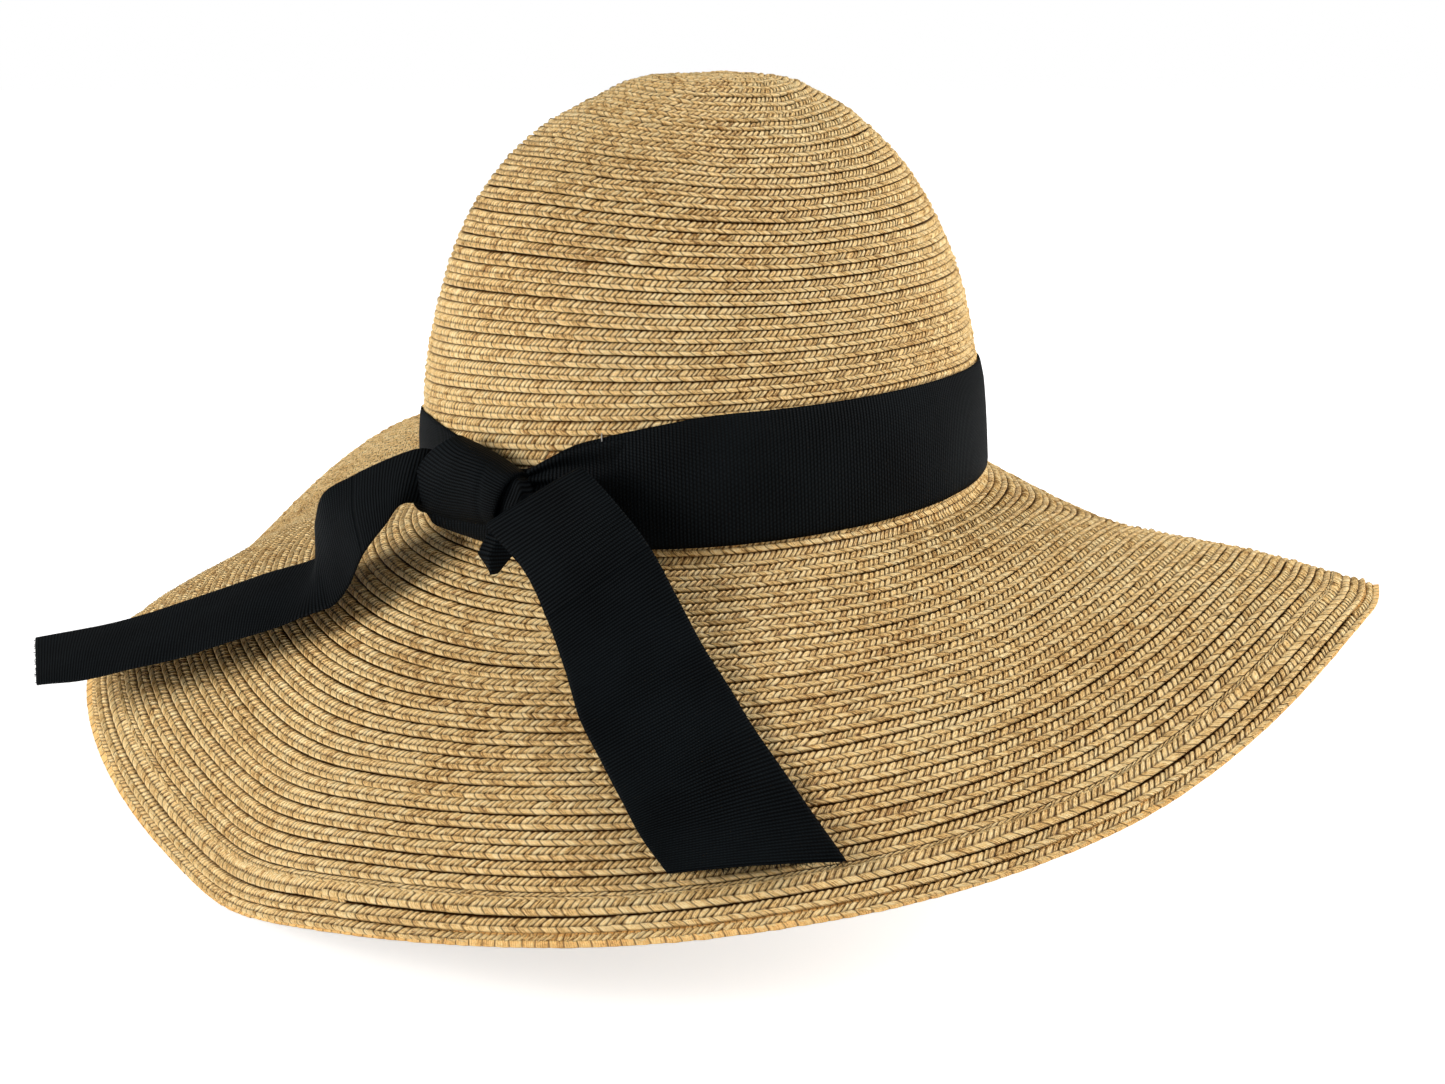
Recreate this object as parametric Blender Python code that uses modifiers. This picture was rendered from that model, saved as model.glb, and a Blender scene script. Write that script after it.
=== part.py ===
"""Wide-brimmed sun hat of sewn straw braid, with a knotted grosgrain ribbon.

+Z is up, through the crown, and -Y is the front. The ribbon's knot sits towards -X and -Y.
Shapes are worked out from the centre of the head opening, at the break where the crown meets the
brim, and then moved by STAND, so that the origin is the middle of the hat's box, at the bottom.
Angles run anticlockwise from +X as seen from above. A "run" is a length along a surface.
"""
import math

import bmesh
import bpy
import numpy as np
from mathutils import Matrix, Vector

# ---------------------------------------------------------------- dimensions (metres, degrees)
MM = 0.001
STAND = Vector((0.00578, -0.00731, 0.10731))    # move from the head opening's centre
BRAID_THICKNESS = 0.0018
CLEAR = 0.0004                      # gap between neighbouring pieces

# Crown
HEAD_HALF_WIDTH = 0.0940            # crown's outer face at the break, along X
HEAD_HALF_DEPTH = 0.0960            # the same along Y
CROWN_HEIGHT = 0.1355
CROWN_POWER_FALL = 2.4              # superellipse powers of the crown's profile
CROWN_POWER_SIDE = 2.35
PROFILE_SPACING_POWER = 1.6         # gathers the profile's samples near the tip
CROWN_SIT = (-0.0020, -0.0060)      # shift in X and Y towards the crown's top
CROWN_SIT_BLEND = 0.3               # share of the height by which the X shift is complete
TIP_LEAN = 0.0035                   # the last rows lean this far to +X
TIP_TILT = 0.0068                   # and rise on that side
ROW_TILT_LOW = (0.0128, -0.0064)    # tilt of the rows near the break, along X and Y
ROW_TILT_TOP = (-0.0060, 0.0095)    # the same near the tip
ROW_WARP_2 = (-0.0009, 0.0023)      # two-lobed warp of the upper rows: cosine, sine
ROW_WARP_3 = (0.0012, -0.0017)      # three-lobed warp: cosine, sine
BREAK_TILT = (0.0056, 0.0060)       # tilt of the break line, along X and Y
BREAK_BLEND = 0.25                  # share of the height over which the break's tilt fades in
TIP_FLAT_RADIUS = 0.0090            # flat disc made by the first coils of the braid
TIP_FLAT_BLEND = 0.030              # run over which the disc blends into the crown
CROWN_RING_POWER = 0.9              # spacing of the crown's rings

# Brim
BRIM_ROWS = 28
BRIM_WIDTH = 0.1351                 # along the surface, from the break to the rim
BRIM_STEPS = 48                     # integration steps across the brim
BRIM_COLUMNS = 72
# How steeply the brim falls, in degrees: (inner, middle, outer) for every 30 degrees round.
BRIM_FALL = np.array([
    (27, 25, 42), (36, 33, 35), (32, 30, 28), (16, 18, 22), (-1, 2, 20), (9, 24, 36),
    (30, 22, 45), (33, 46, 59), (41, 35, 46), (30, 31, 41), (30, 19, 36), (12, 3, 15),
], float)
EDGE_ROWS = 3                       # the last rows are a second length of braid
EDGE_WIDTH = EDGE_ROWS * BRIM_WIDTH / BRIM_ROWS
RIM_TRIM = 0.0002                   # the braid stops this far short of the full width
FACING_WIDTH = 0.0066               # strip under the rim
FACING_THICKNESS = 0.0012
WIRE_RADIUS = 0.0005
WIRE_SPACE = 0.0021                 # room for the wire and its ferrule under the rim
WIRE_END_GAP = 0.0012               # from the flap's cut faces to the wire ends
FERRULE_RADIUS = 0.00092
FERRULE_THICKNESS = 0.00022

# The +X side of the brim is a separate flap that bends about a line along Y.
FLAP_LINE = 0.140                   # the line's X
FLAP_LIFT = 0.0006                  # the line's height over the brim's highest point on it
FLAP_DOWN = 7                       # how far the flap bends down
FLAP_FACE_TILT = FLAP_DOWN + 1      # tilt of the flap's cut face
FLAP_CUT_GAP = 0.0002               # each side is cut back this far from the line
BLOCK_LENGTH, BLOCK_SIDE = 0.5, 0.8     # size of the cutting blocks

# Ribbon
RIBBON = 0.0007                     # thickness of the grosgrain
BAND_WIDTH = 0.0320
BAND_LOW = (0.0035, 0.0062, 0.0048)     # lower edge's height: mean, swing along X, along Y
BAND_OFFSET = CLEAR + RIBBON        # band's outer face off the crown
TAIL_BELLY = 0.0008                 # swell of the tails across their width

TACKS = (("band_tack_front", -108), ("band_tack_right", 10), ("band_tack_back", 110))
TACK_RADIUS = 0.0003
# One stitch over the band's upper edge: run below the edge, turn in radians, distance off the crown
TACK_PATH = (
    (-0.0022, -0.006, CLEAR + 0.0004),
    (-0.0005, -0.002, BAND_OFFSET + 0.0009),
    (0.0018, 0.003, BAND_OFFSET + 0.0009),
    (0.0032, 0.006, BAND_OFFSET + 0.0008),
)

KNOT_ANGLE = -130.5
KNOT_HEIGHT = 0.0155
KNOT_WIDE, KNOT_TALL, KNOT_DEPTH = 0.034, 0.029, 0.014
KNOT_SLANT = 0.17                   # fall per metre along the band
KNOT_POWER = 2.6                    # superellipse power of the knot's section
KNOT_SEAT = BAND_OFFSET + 0.0006    # back of the knot off the crown's face
KNOT_CORE_INSET = RIBBON + 2 * CLEAR
KNOT_CORE_OUT = 0.0015              # the core stands out of the wrap at both ends

# Gathered ribbon beside the knot: angle, run below the band's upper edge, run below its lower
# edge, distance off the crown
BAND_GATHER = (
    (-118.5, 0.0, -0.0100, 0.0068),
    (-115, 0.0006, -0.0070, 0.0056),
    (-110, 0.0018, -0.0040, 0.0036),
    (-105, 0.0026, -0.0030, 0.0026),
)

# Ribbon lengths. Each station is x, y, z on one edge and x, y, z on the other, here in millimetres.
LEFT_ROOT = MM * np.array([
    (-89, -66, 23, -93, -73, 7), (-99, -62, 19, -98, -75, 1), (-111, -56, 13, -105, -76, -8),
    (-122, -50, 4, -111, -73, -21), (-125, -44, -8, -119, -72, -27),
    (-125, -38, -17, -130, -70, -31),
])
LEFT_END = MM * np.array([
    (-126, -38, -18, -131, -70, -32), (-146, -32, -25, -146, -66, -37),
    (-171, -26, -35, -168, -60, -45), (-196, -19, -44, -193, -54, -53),
    (-228, -10, -52, -217, -46, -59),
])
RIGHT_ROOT = MM * np.array([
    (-62, -101, 4, -33, -104, 22), (-53, -108, -6, -25, -107, 13),
    (-46, -117, -18, -16, -112, 2), (-40, -132, -29, -8, -124, -10),
    (-35, -150, -38, 0, -137, -22),
])
RIGHT_END = MM * np.array([
    (-35, -151, -39, 0, -138, -23), (-29, -163, -45, 7, -149, -30),
    (-23, -176, -52, 13, -161, -37), (-17, -188, -59, 25, -182, -49),
    (-10, -200, -64, 36, -203, -60),
])
FOLD_TIP = MM * np.array([
    (-66, -95, 1, -58, -97, -1), (-67, -98, -4, -57, -99, -5), (-65, -99, -10, -61, -100, -9),
])

# Inside the head opening. Heights are over the break line; offsets are off the crown's outer face.
LINING_FACE = -BRAID_THICKNESS - CLEAR
SWEATBAND_LOW = 0.0015
SWEATBAND_TOP = SWEATBAND_LOW + 0.030
SWEATBAND_THICKNESS = 0.0008
SWEATBAND_FACE = LINING_FACE - 0.0004
CHANNEL_FACE = LINING_FACE - 0.0026     # the top stands off to leave room for the drawcord
# Sweatband's rings, from the top down: height, offset
SWEATBAND_RINGS = (
    (SWEATBAND_TOP, CHANNEL_FACE),
    (SWEATBAND_TOP - 0.005, CHANNEL_FACE),
    (SWEATBAND_TOP - 0.012, SWEATBAND_FACE),
    (SWEATBAND_LOW, SWEATBAND_FACE),
)
DRAWCORD_RING = (SWEATBAND_TOP - 0.0024, LINING_FACE - 0.0013)
SEAM_RING = (SWEATBAND_LOW + 0.0030, SWEATBAND_FACE - SWEATBAND_THICKNESS - 0.0011)
DRAWCORD_RADIUS = 0.0009
SEAM_RADIUS = 0.0003

# Drawcord's knot and ends, and the size tag. Places are along the wall, inwards from it, and up.
CORD_ANGLE = 96
CORD_KNOT_RADIUS = 0.0026
CORD_KNOT_SCALE = (1.1, 1.0, 0.9, 1)
CORD_KNOT_PLACE = (0, 0.0036, 0.0034)
CORD_END_PATH = (
    (0.0042, 0.0058, 0.0040), (0.0064, 0.0064, 0.0022), (0.0082, 0.0066, -0.004),
    (0.0088, 0.0066, -0.012), (0.0082, 0.0066, -0.020),
)
TAG_ANGLE = 62
TAG_WIDE, TAG_TALL, TAG_THICKNESS = 0.022, 0.013, 0.0004
TAG_TOP = -0.0130
TAG_ROWS = ((0.0050, TAG_TOP), (0.0054, -0.0200), (0.0056, TAG_TOP - TAG_TALL))  # inwards, up


# ---------------------------------------------------------------- curves and surfaces
def smoothstep(share):
    return share * share * (3 - 2 * share)


def catmull_rom(p0, p1, p2, p3, share):
    return 0.5 * (2 * p1 + (p2 - p0) * share
                  + (2 * p0 - 5 * p1 + 4 * p2 - p3) * share ** 2
                  + (3 * p1 - p0 - 3 * p2 + p3) * share ** 3)


def smooth_path(stations, count):
    """count rows along a Catmull-Rom curve through the stations (any number of values in each)."""
    st = np.asarray(stations, float)
    st = np.vstack([2 * st[0] - st[1], st, 2 * st[-1] - st[-2]])
    spans = len(st) - 3
    place_along = np.linspace(0, spans, count)
    k = np.minimum(place_along.astype(int), spans - 1)
    share = (place_along - k)[:, None]
    return catmull_rom(st[k], st[k + 1], st[k + 2], st[k + 3], share)


def ring_angles(count):
    return np.arange(count) * 2 * math.pi / count


def crown_profile():
    """Run from the tip, share of the radius and share of the height, at 400 samples."""
    height = 1 - np.linspace(0, 1, 400) ** PROFILE_SPACING_POWER
    radius = (1 - height ** CROWN_POWER_FALL) ** (1 / CROWN_POWER_SIDE)
    steps = np.hypot(np.diff(radius) * HEAD_HALF_WIDTH, np.diff(height) * CROWN_HEIGHT)
    return np.concatenate([[0], np.cumsum(steps)]), radius, height


PROFILE_RUN, PROFILE_RADIUS, PROFILE_HEIGHT = crown_profile()
CROWN_RUN = float(PROFILE_RUN[-1])      # from the tip to the break


def break_height(angle):
    return BREAK_TILT[0] * np.cos(angle) + BREAK_TILT[1] * np.sin(angle)


def crown_surface(run, angle):
    """Point of the crown's outer face, this run down the profile from the tip."""
    run, angle = np.broadcast_arrays(np.asarray(run, float), np.asarray(angle, float))
    radius = np.interp(run, PROFILE_RUN, PROFILE_RADIUS)
    height = np.interp(run, PROFILE_RUN, PROFILE_HEIGHT)
    cos, sin = np.cos(angle), np.sin(angle)

    tilt_x, tilt_y = (low * (1 - height) + top * height
                      for low, top in zip(ROW_TILT_LOW, ROW_TILT_TOP))
    tilt = radius * (TIP_TILT * height ** 4 * cos + tilt_x * cos + tilt_y * sin)
    warp = radius * height * (
        ROW_WARP_2[0] * np.cos(2 * angle) + ROW_WARP_2[1] * np.sin(2 * angle)
        + ROW_WARP_3[0] * np.cos(3 * angle) + ROW_WARP_3[1] * np.sin(3 * angle))

    near_break = smoothstep(np.clip(1 - height / BREAK_BLEND, 0, 1))
    off_disc = smoothstep(np.clip((run - TIP_FLAT_RADIUS) / TIP_FLAT_BLEND, 0, 1))
    disc_height = np.interp(TIP_FLAT_RADIUS, PROFILE_RUN, PROFILE_HEIGHT)
    z = CROWN_HEIGHT * (height * off_disc + disc_height * (1 - off_disc))
    z = z + off_disc * (tilt * (1 - near_break) + warp) + near_break * break_height(angle)
    x = (CROWN_SIT[0] * np.minimum(height / CROWN_SIT_BLEND, 1) + TIP_LEAN * height ** 6
         + HEAD_HALF_WIDTH * radius * cos)
    y = CROWN_SIT[1] * height + HEAD_HALF_DEPTH * radius * sin
    return np.stack([x, y, z], -1)


def crown_run_at(angle, z):
    """Run down the profile at which the crown's face reaches height z."""
    runs = np.linspace(CROWN_RUN * 0.45, CROWN_RUN, 160)
    heights = crown_surface(runs, angle)[:, 2]
    return float(np.interp(-z, -heights, runs))


def brim_fall(share, angle):
    """Slope of the brim in radians at this share of its width."""
    count = len(BRIM_FALL)
    sector = (angle / (2 * np.pi) * count) % count
    k = np.floor(sector).astype(int)
    around = (BRIM_FALL[(k + step) % count] for step in (-1, 0, 1, 2))
    triple = catmull_rom(*around, (sector - k)[..., None])
    # Parabola through the inner, middle and outer values
    weights = np.stack([(1 - share) * (1 - 2 * share), 4 * share * (1 - share),
                        share * (2 * share - 1)], -1)
    return np.radians((triple * weights).sum(-1))


def brim_meridians(angles):
    """Outer face of the brim at the angles: BRIM_STEPS + 1 rings of points."""
    share = np.linspace(0, 1, BRIM_STEPS + 1)[:, None]
    slope = brim_fall(share, angles[None])
    mid_slope = (slope[1:] + slope[:-1]) / 2
    step = BRIM_WIDTH / BRIM_STEPS
    start = np.zeros((1, len(angles)))
    out = np.concatenate([start, np.cumsum(np.cos(mid_slope), 0) * step])
    down = np.concatenate([start, np.cumsum(np.sin(mid_slope), 0) * step])
    normal_x, normal_y = np.cos(angles) / HEAD_HALF_WIDTH, np.sin(angles) / HEAD_HALF_DEPTH
    length = np.hypot(normal_x, normal_y)
    return np.stack([HEAD_HALF_WIDTH * np.cos(angles) + normal_x / length * out,
                     HEAD_HALF_DEPTH * np.sin(angles) + normal_y / length * out,
                     break_height(angles) - down], -1)


def brim_surface(run, angle):
    """Point of the brim's outer face, this run out from the break."""
    run, angle = np.broadcast_arrays(np.asarray(run, float), np.asarray(angle, float))
    rings = brim_meridians(angle.ravel())
    step = np.clip(run.ravel() / BRIM_WIDTH, 0, 1) * BRIM_STEPS
    k = np.minimum(step.astype(int), BRIM_STEPS - 1)
    share = (step - k)[:, None]
    columns = np.arange(angle.size)
    points = rings[k, columns] * (1 - share) + rings[k + 1, columns] * share
    return points.reshape(angle.shape + (3,))


def face_normal(surface, run, angle):
    """Unit outward (upward on the brim) normal of one of the two surfaces."""
    run_step = 1e-4
    turn = run_step / 0.09          # about the same length round the head
    along_run = surface(run + run_step, angle) - surface(run - run_step, angle)
    around = surface(run, angle + turn) - surface(run, angle - turn)
    normal = np.cross(along_run, around)
    return normal / np.maximum(np.linalg.norm(normal, axis=-1, keepdims=True), 1e-12)


def offset_surface(surface, run, angle, offset):
    normal = face_normal(surface, run, angle)
    return surface(run, angle) + normal * np.asarray(offset)[..., None]


def crown_grid(columns, runs_at, offsets):
    """Rings of points off the crown's face; runs_at(angle) gives one column's runs."""
    return np.stack([offset_surface(crown_surface, np.array(runs_at(angle)), angle, offsets)
                     for angle in ring_angles(columns)], 1)


def crown_frame(angle, height):
    """Point on the crown's side, and directions out, anticlockwise along the wall, and up."""
    run = crown_run_at(angle, height)
    point = crown_surface(run, angle)
    out = face_normal(crown_surface, run, angle)
    up = crown_surface(run - 0.001, angle) - point
    up = up / np.linalg.norm(up)
    along = np.cross(up, out)
    return point, out, along / np.linalg.norm(along), up


# ---------------------------------------------------------------- scene and building helpers
for old in list(bpy.data.objects):
    bpy.data.objects.remove(old, do_unlink=True)
for old in list(bpy.data.collections):
    bpy.data.collections.remove(old)

HAT = bpy.data.collections.new("straw_sun_hat")
CUTTERS = bpy.data.collections.new("cutters")
for collection in (HAT, CUTTERS):
    bpy.context.scene.collection.children.link(collection)


def material(name, color, roughness, metallic=0.0):
    mat = bpy.data.materials.new(name)
    mat.use_nodes = True
    inputs = mat.node_tree.nodes["Principled BSDF"].inputs
    inputs["Base Color"].default_value = (*color, 1)
    inputs["Roughness"].default_value = roughness
    inputs["Metallic"].default_value = metallic
    return mat


def move_to(obj, collection):
    for current in list(obj.users_collection):
        current.objects.unlink(obj)
    collection.objects.link(obj)


def place(obj, mat, pivot=None):
    """Adds a piece to the hat, with its origin at the pivot or else at the hat's origin."""
    move_to(obj, HAT)
    obj.data.materials.append(mat)
    pivot = -STAND if pivot is None else Vector(pivot)
    if obj.type == "MESH":
        obj.data.transform(Matrix.Translation(-pivot))
    else:
        for spline in obj.data.splines:
            for point in spline.points:
                point.co = (*(Vector(point.co[:3]) - pivot), 1)
    obj.location = pivot + STAND


def sheet(name, points, closed=False, cap_first=False):
    """A mesh through a grid of points; closed joins each row into a ring."""
    points = np.asarray(points, float)
    rows, columns = points.shape[:2]
    bm = bmesh.new()
    verts = [[bm.verts.new(point) for point in row] for row in points]
    for i in range(rows - 1):
        for j in range(columns if closed else columns - 1):
            after = (j + 1) % columns
            bm.faces.new((verts[i][j], verts[i + 1][j], verts[i + 1][after], verts[i][after]))
    if cap_first:
        bm.faces.new(verts[0])
    mesh = bpy.data.meshes.new(name)
    bm.to_mesh(mesh)
    bm.free()
    mesh.shade_smooth()
    return bpy.data.objects.new(name, mesh)


def solidify(obj, thickness, offset=-1.0):
    mod = obj.modifiers.new("thickness", "SOLIDIFY")
    mod.thickness = thickness
    mod.offset = offset
    mod.use_even_offset = True
    mod.use_quality_normals = True
    return obj


def cut(obj, cutter, operation):
    mod = obj.modifiers.new("cut", "BOOLEAN")
    mod.operation = operation
    mod.solver = "EXACT"
    mod.object = cutter
    return obj


def cord(name, points, radius, cyclic=False, resolution=2):
    """A round cord, wire or thread through the points, with filled ends unless cyclic."""
    curve = bpy.data.curves.new(name, "CURVE")
    curve.dimensions = "3D"
    curve.bevel_depth = radius
    curve.bevel_resolution = resolution
    curve.use_fill_caps = not cyclic
    spline = curve.splines.new("POLY")
    spline.points.add(len(points) - 1)
    for spline_point, point in zip(spline.points, points):
        spline_point.co = (*point, 1)
    spline.use_cyclic_u = cyclic
    return bpy.data.objects.new(name, curve)


straw = material("straw_braid", color=(0.55, 0.36, 0.17), roughness=0.75)
ribbon = material("ribbon_grosgrain", color=(0.008, 0.010, 0.013), roughness=0.6)
tape = material("sweatband_tape", color=(0.70, 0.60, 0.45), roughness=0.85)
cotton = material("cotton_cord", color=(0.80, 0.74, 0.62), roughness=0.85)
thread = material("white_thread", color=(0.85, 0.85, 0.82), roughness=0.6)
steel = material("rim_wire", color=(0.45, 0.45, 0.47), roughness=0.35, metallic=1.0)
ferrule = material("ferrule", color=(0.60, 0.60, 0.62), roughness=0.3, metallic=1.0)
label = material("tag_satin", color=(0.88, 0.87, 0.84), roughness=0.5)


# ---------------------------------------------------------------- crown
def build_crown():
    shares = np.linspace(0, 1, 15) ** CROWN_RING_POWER
    runs = TIP_FLAT_RADIUS + (CROWN_RUN - CLEAR - TIP_FLAT_RADIUS) * shares
    grid = crown_surface(runs[:, None], ring_angles(44)[None])
    crown = sheet("crown_braid", grid, closed=True, cap_first=True)
    place(solidify(crown, BRAID_THICKNESS), straw)


# ---------------------------------------------------------------- brim, rim and flap
def flap_axis_height():
    """Height just over the brim's highest point on the flap's line."""
    meridians = brim_meridians(np.radians(np.linspace(-60, 60, 241)))
    heights = [np.interp(FLAP_LINE, meridian[:, 0], meridian[:, 2])
               for meridian in meridians.swapaxes(0, 1) if meridian[-1, 0] > FLAP_LINE]
    return max(heights) + FLAP_LIFT


FLAP_PIVOT = Vector((FLAP_LINE, 0.0, flap_axis_height()))


def half_space(name, shift, tilt):
    """A large block on the +X side of the flap's line, its near face tilted about the line."""
    bpy.ops.mesh.primitive_cube_add(size=1.0)
    block = bpy.context.active_object
    block.name = name
    block.data.transform(Matrix.Translation((BLOCK_LENGTH / 2 + shift, 0, 0))
                         @ Matrix.Diagonal((BLOCK_LENGTH, BLOCK_SIDE, BLOCK_SIDE, 1)))
    block.data.transform(Matrix.Translation(FLAP_PIVOT + STAND)
                         @ Matrix.Rotation(math.radians(tilt), 4, (0, -1, 0)))
    move_to(block, CUTTERS)
    block.hide_render = True
    block.display_type = "WIRE"
    return block


def brim_ring(name, inner, outer, steps, offset, thickness):
    runs = np.linspace(inner, outer, steps)[:, None]
    grid = offset_surface(brim_surface, runs, ring_angles(BRIM_COLUMNS)[None], offset)
    return solidify(sheet(name, grid, closed=True), thickness)


def build_brim():
    """Each ring is built twice: without the flap, and as the flap alone."""
    flap_away = half_space("cut_flap_away", -FLAP_CUT_GAP, 0)
    flap_keep = half_space("cut_flap_keep", FLAP_CUT_GAP, FLAP_FACE_TILT)
    rim = BRIM_WIDTH - RIM_TRIM
    edge = BRIM_WIDTH - EDGE_WIDTH
    # Fixed name, flap name, then the ring: inner run, outer run, steps, offset, thickness
    rings = (
        ("brim_braid", "brim_turnup_braid", (CLEAR, edge - CLEAR, 8, 0.0, BRAID_THICKNESS)),
        ("edge_braid", "edge_turnup_braid", (edge, rim, 3, 0.0, BRAID_THICKNESS)),
        ("edge_facing_braid", "edge_turnup_facing",
         (BRIM_WIDTH - FACING_WIDTH, rim, 2, -BRAID_THICKNESS - WIRE_SPACE, FACING_THICKNESS)),
    )
    for fixed, flap, ring in rings:
        place(cut(brim_ring(fixed, *ring), flap_away, "DIFFERENCE"), straw)
        place(cut(brim_ring(flap, *ring), flap_keep, "INTERSECT"), straw, FLAP_PIVOT)


def build_ferrule(ends):
    """A sleeve round the rim wire between two of its points."""
    direction = ends[1] - ends[0]
    direction = direction / np.linalg.norm(direction)
    side = np.cross(direction, (0, 0, 1))
    side = side / np.linalg.norm(side)
    upward = np.cross(side, direction)
    angles = ring_angles(12)[:, None]
    circle = FERRULE_RADIUS * (np.cos(angles) * side + np.sin(angles) * upward)
    sleeve = sheet("wire_ferrule", [end + circle for end in ends], closed=True)
    place(solidify(sleeve, FERRULE_THICKNESS), ferrule)


def build_rim_wire():
    points = offset_surface(brim_surface, BRIM_WIDTH - FACING_WIDTH / 2,
                            ring_angles(BRIM_COLUMNS), -BRAID_THICKNESS - WIRE_SPACE / 2)
    fixed = points[points[:, 0] < FLAP_LINE - WIRE_END_GAP]
    place(cord("rim_wire", fixed, WIRE_RADIUS, resolution=1), steel)

    tilt = math.radians(FLAP_FACE_TILT)
    beyond = ((points[:, 0] - FLAP_LINE) * math.cos(tilt)
              + (points[:, 2] - FLAP_PIVOT.z) * math.sin(tilt))
    # Counted from -X round through +X, so that the flap's points follow one another
    half = BRIM_COLUMNS // 2
    flap = points[[i for i in range(-half, half) if beyond[i] > WIRE_END_GAP]]
    place(cord("rim_wire_turnup", flap, WIRE_RADIUS, resolution=1), steel, FLAP_PIVOT)

    start = len(fixed) // 3
    build_ferrule(fixed[start:start + 2])


# ---------------------------------------------------------------- ribbon band and its tacks
def band_low_run(angle):
    mean, swing_x, swing_y = BAND_LOW
    return crown_run_at(angle, mean + swing_x * math.cos(angle) + swing_y * math.sin(angle))


def band_top_run(angle):
    return band_low_run(angle) - BAND_WIDTH


def build_band():
    grid = crown_grid(48, lambda angle: np.linspace(band_top_run(angle), band_low_run(angle), 4),
                      BAND_OFFSET)
    place(solidify(sheet("hat_band", grid, closed=True), RIBBON), ribbon)
    for name, degrees in TACKS:
        angle = math.radians(degrees)
        top = band_top_run(angle)
        points = [offset_surface(crown_surface, top + below, angle + turn, offset)
                  for below, turn, offset in TACK_PATH]
        place(cord(name, points, TACK_RADIUS), thread)


# ---------------------------------------------------------------- knot and ribbon lengths
def knot_rings(profile, half_depth, half_tall, count):
    """Oval rings along the knot; profile rows are place along, share of depth, share of height."""
    point, out, along, up = crown_frame(math.radians(KNOT_ANGLE), KNOT_HEIGHT)
    cos, sin = np.cos(ring_angles(count)), np.sin(ring_angles(count))
    oval_out = (np.sign(cos) * np.abs(cos) ** (2 / KNOT_POWER))[:, None]
    oval_up = (np.sign(sin) * np.abs(sin) ** (2 / KNOT_POWER))[:, None]
    return [point + along * x
            + out * (KNOT_SEAT + KNOT_DEPTH / 2 + oval_out * half_depth * depth_share)
            + up * (oval_up * half_tall * tall_share - KNOT_SLANT * x)
            for x, depth_share, tall_share in profile]


def close_ends(obj):
    bm = bmesh.new()
    bm.from_mesh(obj.data)
    bmesh.ops.holes_fill(bm, edges=[e for e in bm.edges if e.is_boundary], sides=0)
    bmesh.ops.recalc_face_normals(bm, faces=bm.faces)
    bm.to_mesh(obj.data)
    bm.free()
    return obj


def build_knot():
    half = KNOT_WIDE / 2
    wrap_profile = ((half, .92, .97), (half / 2, .99, 1), (0, 1, .98), (-half / 2, .99, 1),
                    (-half, .92, .97))
    rings = knot_rings(wrap_profile, KNOT_DEPTH / 2, KNOT_TALL / 2, 20)
    place(solidify(sheet("knot_wrap", rings, closed=True), RIBBON), ribbon)

    end = half + KNOT_CORE_OUT
    core_profile = ((-end, .70, .70), (-half * .8, .86, .90), (0, .92, .92),
                    (half * .8, .86, .90), (end, .70, .70))
    rings = knot_rings(core_profile, KNOT_DEPTH / 2 - KNOT_CORE_INSET,
                       KNOT_TALL / 2 - KNOT_CORE_INSET, 14)
    place(close_ends(sheet("knot_core", rings, closed=True)), ribbon)


def strip(name, stations, count, belly=0.0):
    """A length of ribbon between two edges, four points across."""
    path = smooth_path(stations, count)
    edge_a, edge_b = path[:, :3], path[:, 3:]
    direction = np.gradient((edge_a + edge_b) / 2, axis=0)
    normal = np.cross(direction, edge_b - edge_a)
    normal /= np.linalg.norm(normal, axis=1, keepdims=True)
    columns = [edge_a * (1 - share) + edge_b * share + normal * belly * 4 * share * (1 - share)
               for share in np.linspace(0, 1, 4)]
    return solidify(sheet(name, np.stack(columns, 1)), RIBBON, offset=0.0)


def build_gather():
    stations = []
    for degrees, top, low, offset in BAND_GATHER:
        angle = math.radians(degrees)
        runs = np.array((band_top_run(angle) + top, band_low_run(angle) + low))
        stations.append(offset_surface(crown_surface, runs, angle, offset).ravel())
    place(strip("band_gather", stations, 8), ribbon)
    place(strip("knot_fold_tip", FOLD_TIP, 5), ribbon)


def middle(*stations):
    """Mean of all the edge points of the stations."""
    return np.reshape(stations, (-1, 3)).mean(0)


def build_tails():
    """Each tail is a root from the knot and an end beyond the fold."""
    # Name, stations, rows, pivot
    tails = (
        ("tail_left_root", LEFT_ROOT, 12, LEFT_ROOT[0][:3]),
        ("tail_left_end", LEFT_END, 12, middle(LEFT_ROOT[-1], LEFT_END[0])),
        ("tail_right_root", RIGHT_ROOT, 10, middle(RIGHT_ROOT[0])),
        ("tail_right_end", RIGHT_END, 10, middle(RIGHT_ROOT[-1], RIGHT_END[0])),
    )
    for name, stations, count, pivot in tails:
        place(strip(name, stations, count, TAIL_BELLY), ribbon, pivot)


# ---------------------------------------------------------------- inside the head opening
def inner_rings(columns, *rings):
    """Rings inside the crown, each given as height over the break and offset."""
    def runs_at(angle):
        return [crown_run_at(angle, height + break_height(angle)) for height, _ in rings]

    return crown_grid(columns, runs_at, [offset for _, offset in rings])


def build_sweatband():
    band = sheet("sweatband", inner_rings(44, *SWEATBAND_RINGS), closed=True)
    place(solidify(band, SWEATBAND_THICKNESS), tape)
    place(cord("drawcord", inner_rings(48, DRAWCORD_RING)[0], DRAWCORD_RADIUS,
               cyclic=True, resolution=1), cotton)
    place(cord("sweatband_seam_thread", inner_rings(48, SEAM_RING)[0], SEAM_RADIUS,
               cyclic=True, resolution=0), thread)


def inside_places(degrees):
    """A function placing points by the sweatband's top: along the wall, inwards from it, up."""
    angle = math.radians(degrees)
    point, out, along, up = crown_frame(angle, SWEATBAND_TOP + break_height(angle))
    return lambda x, y, z: point + along * x - out * (y + BRAID_THICKNESS) + up * z


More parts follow.
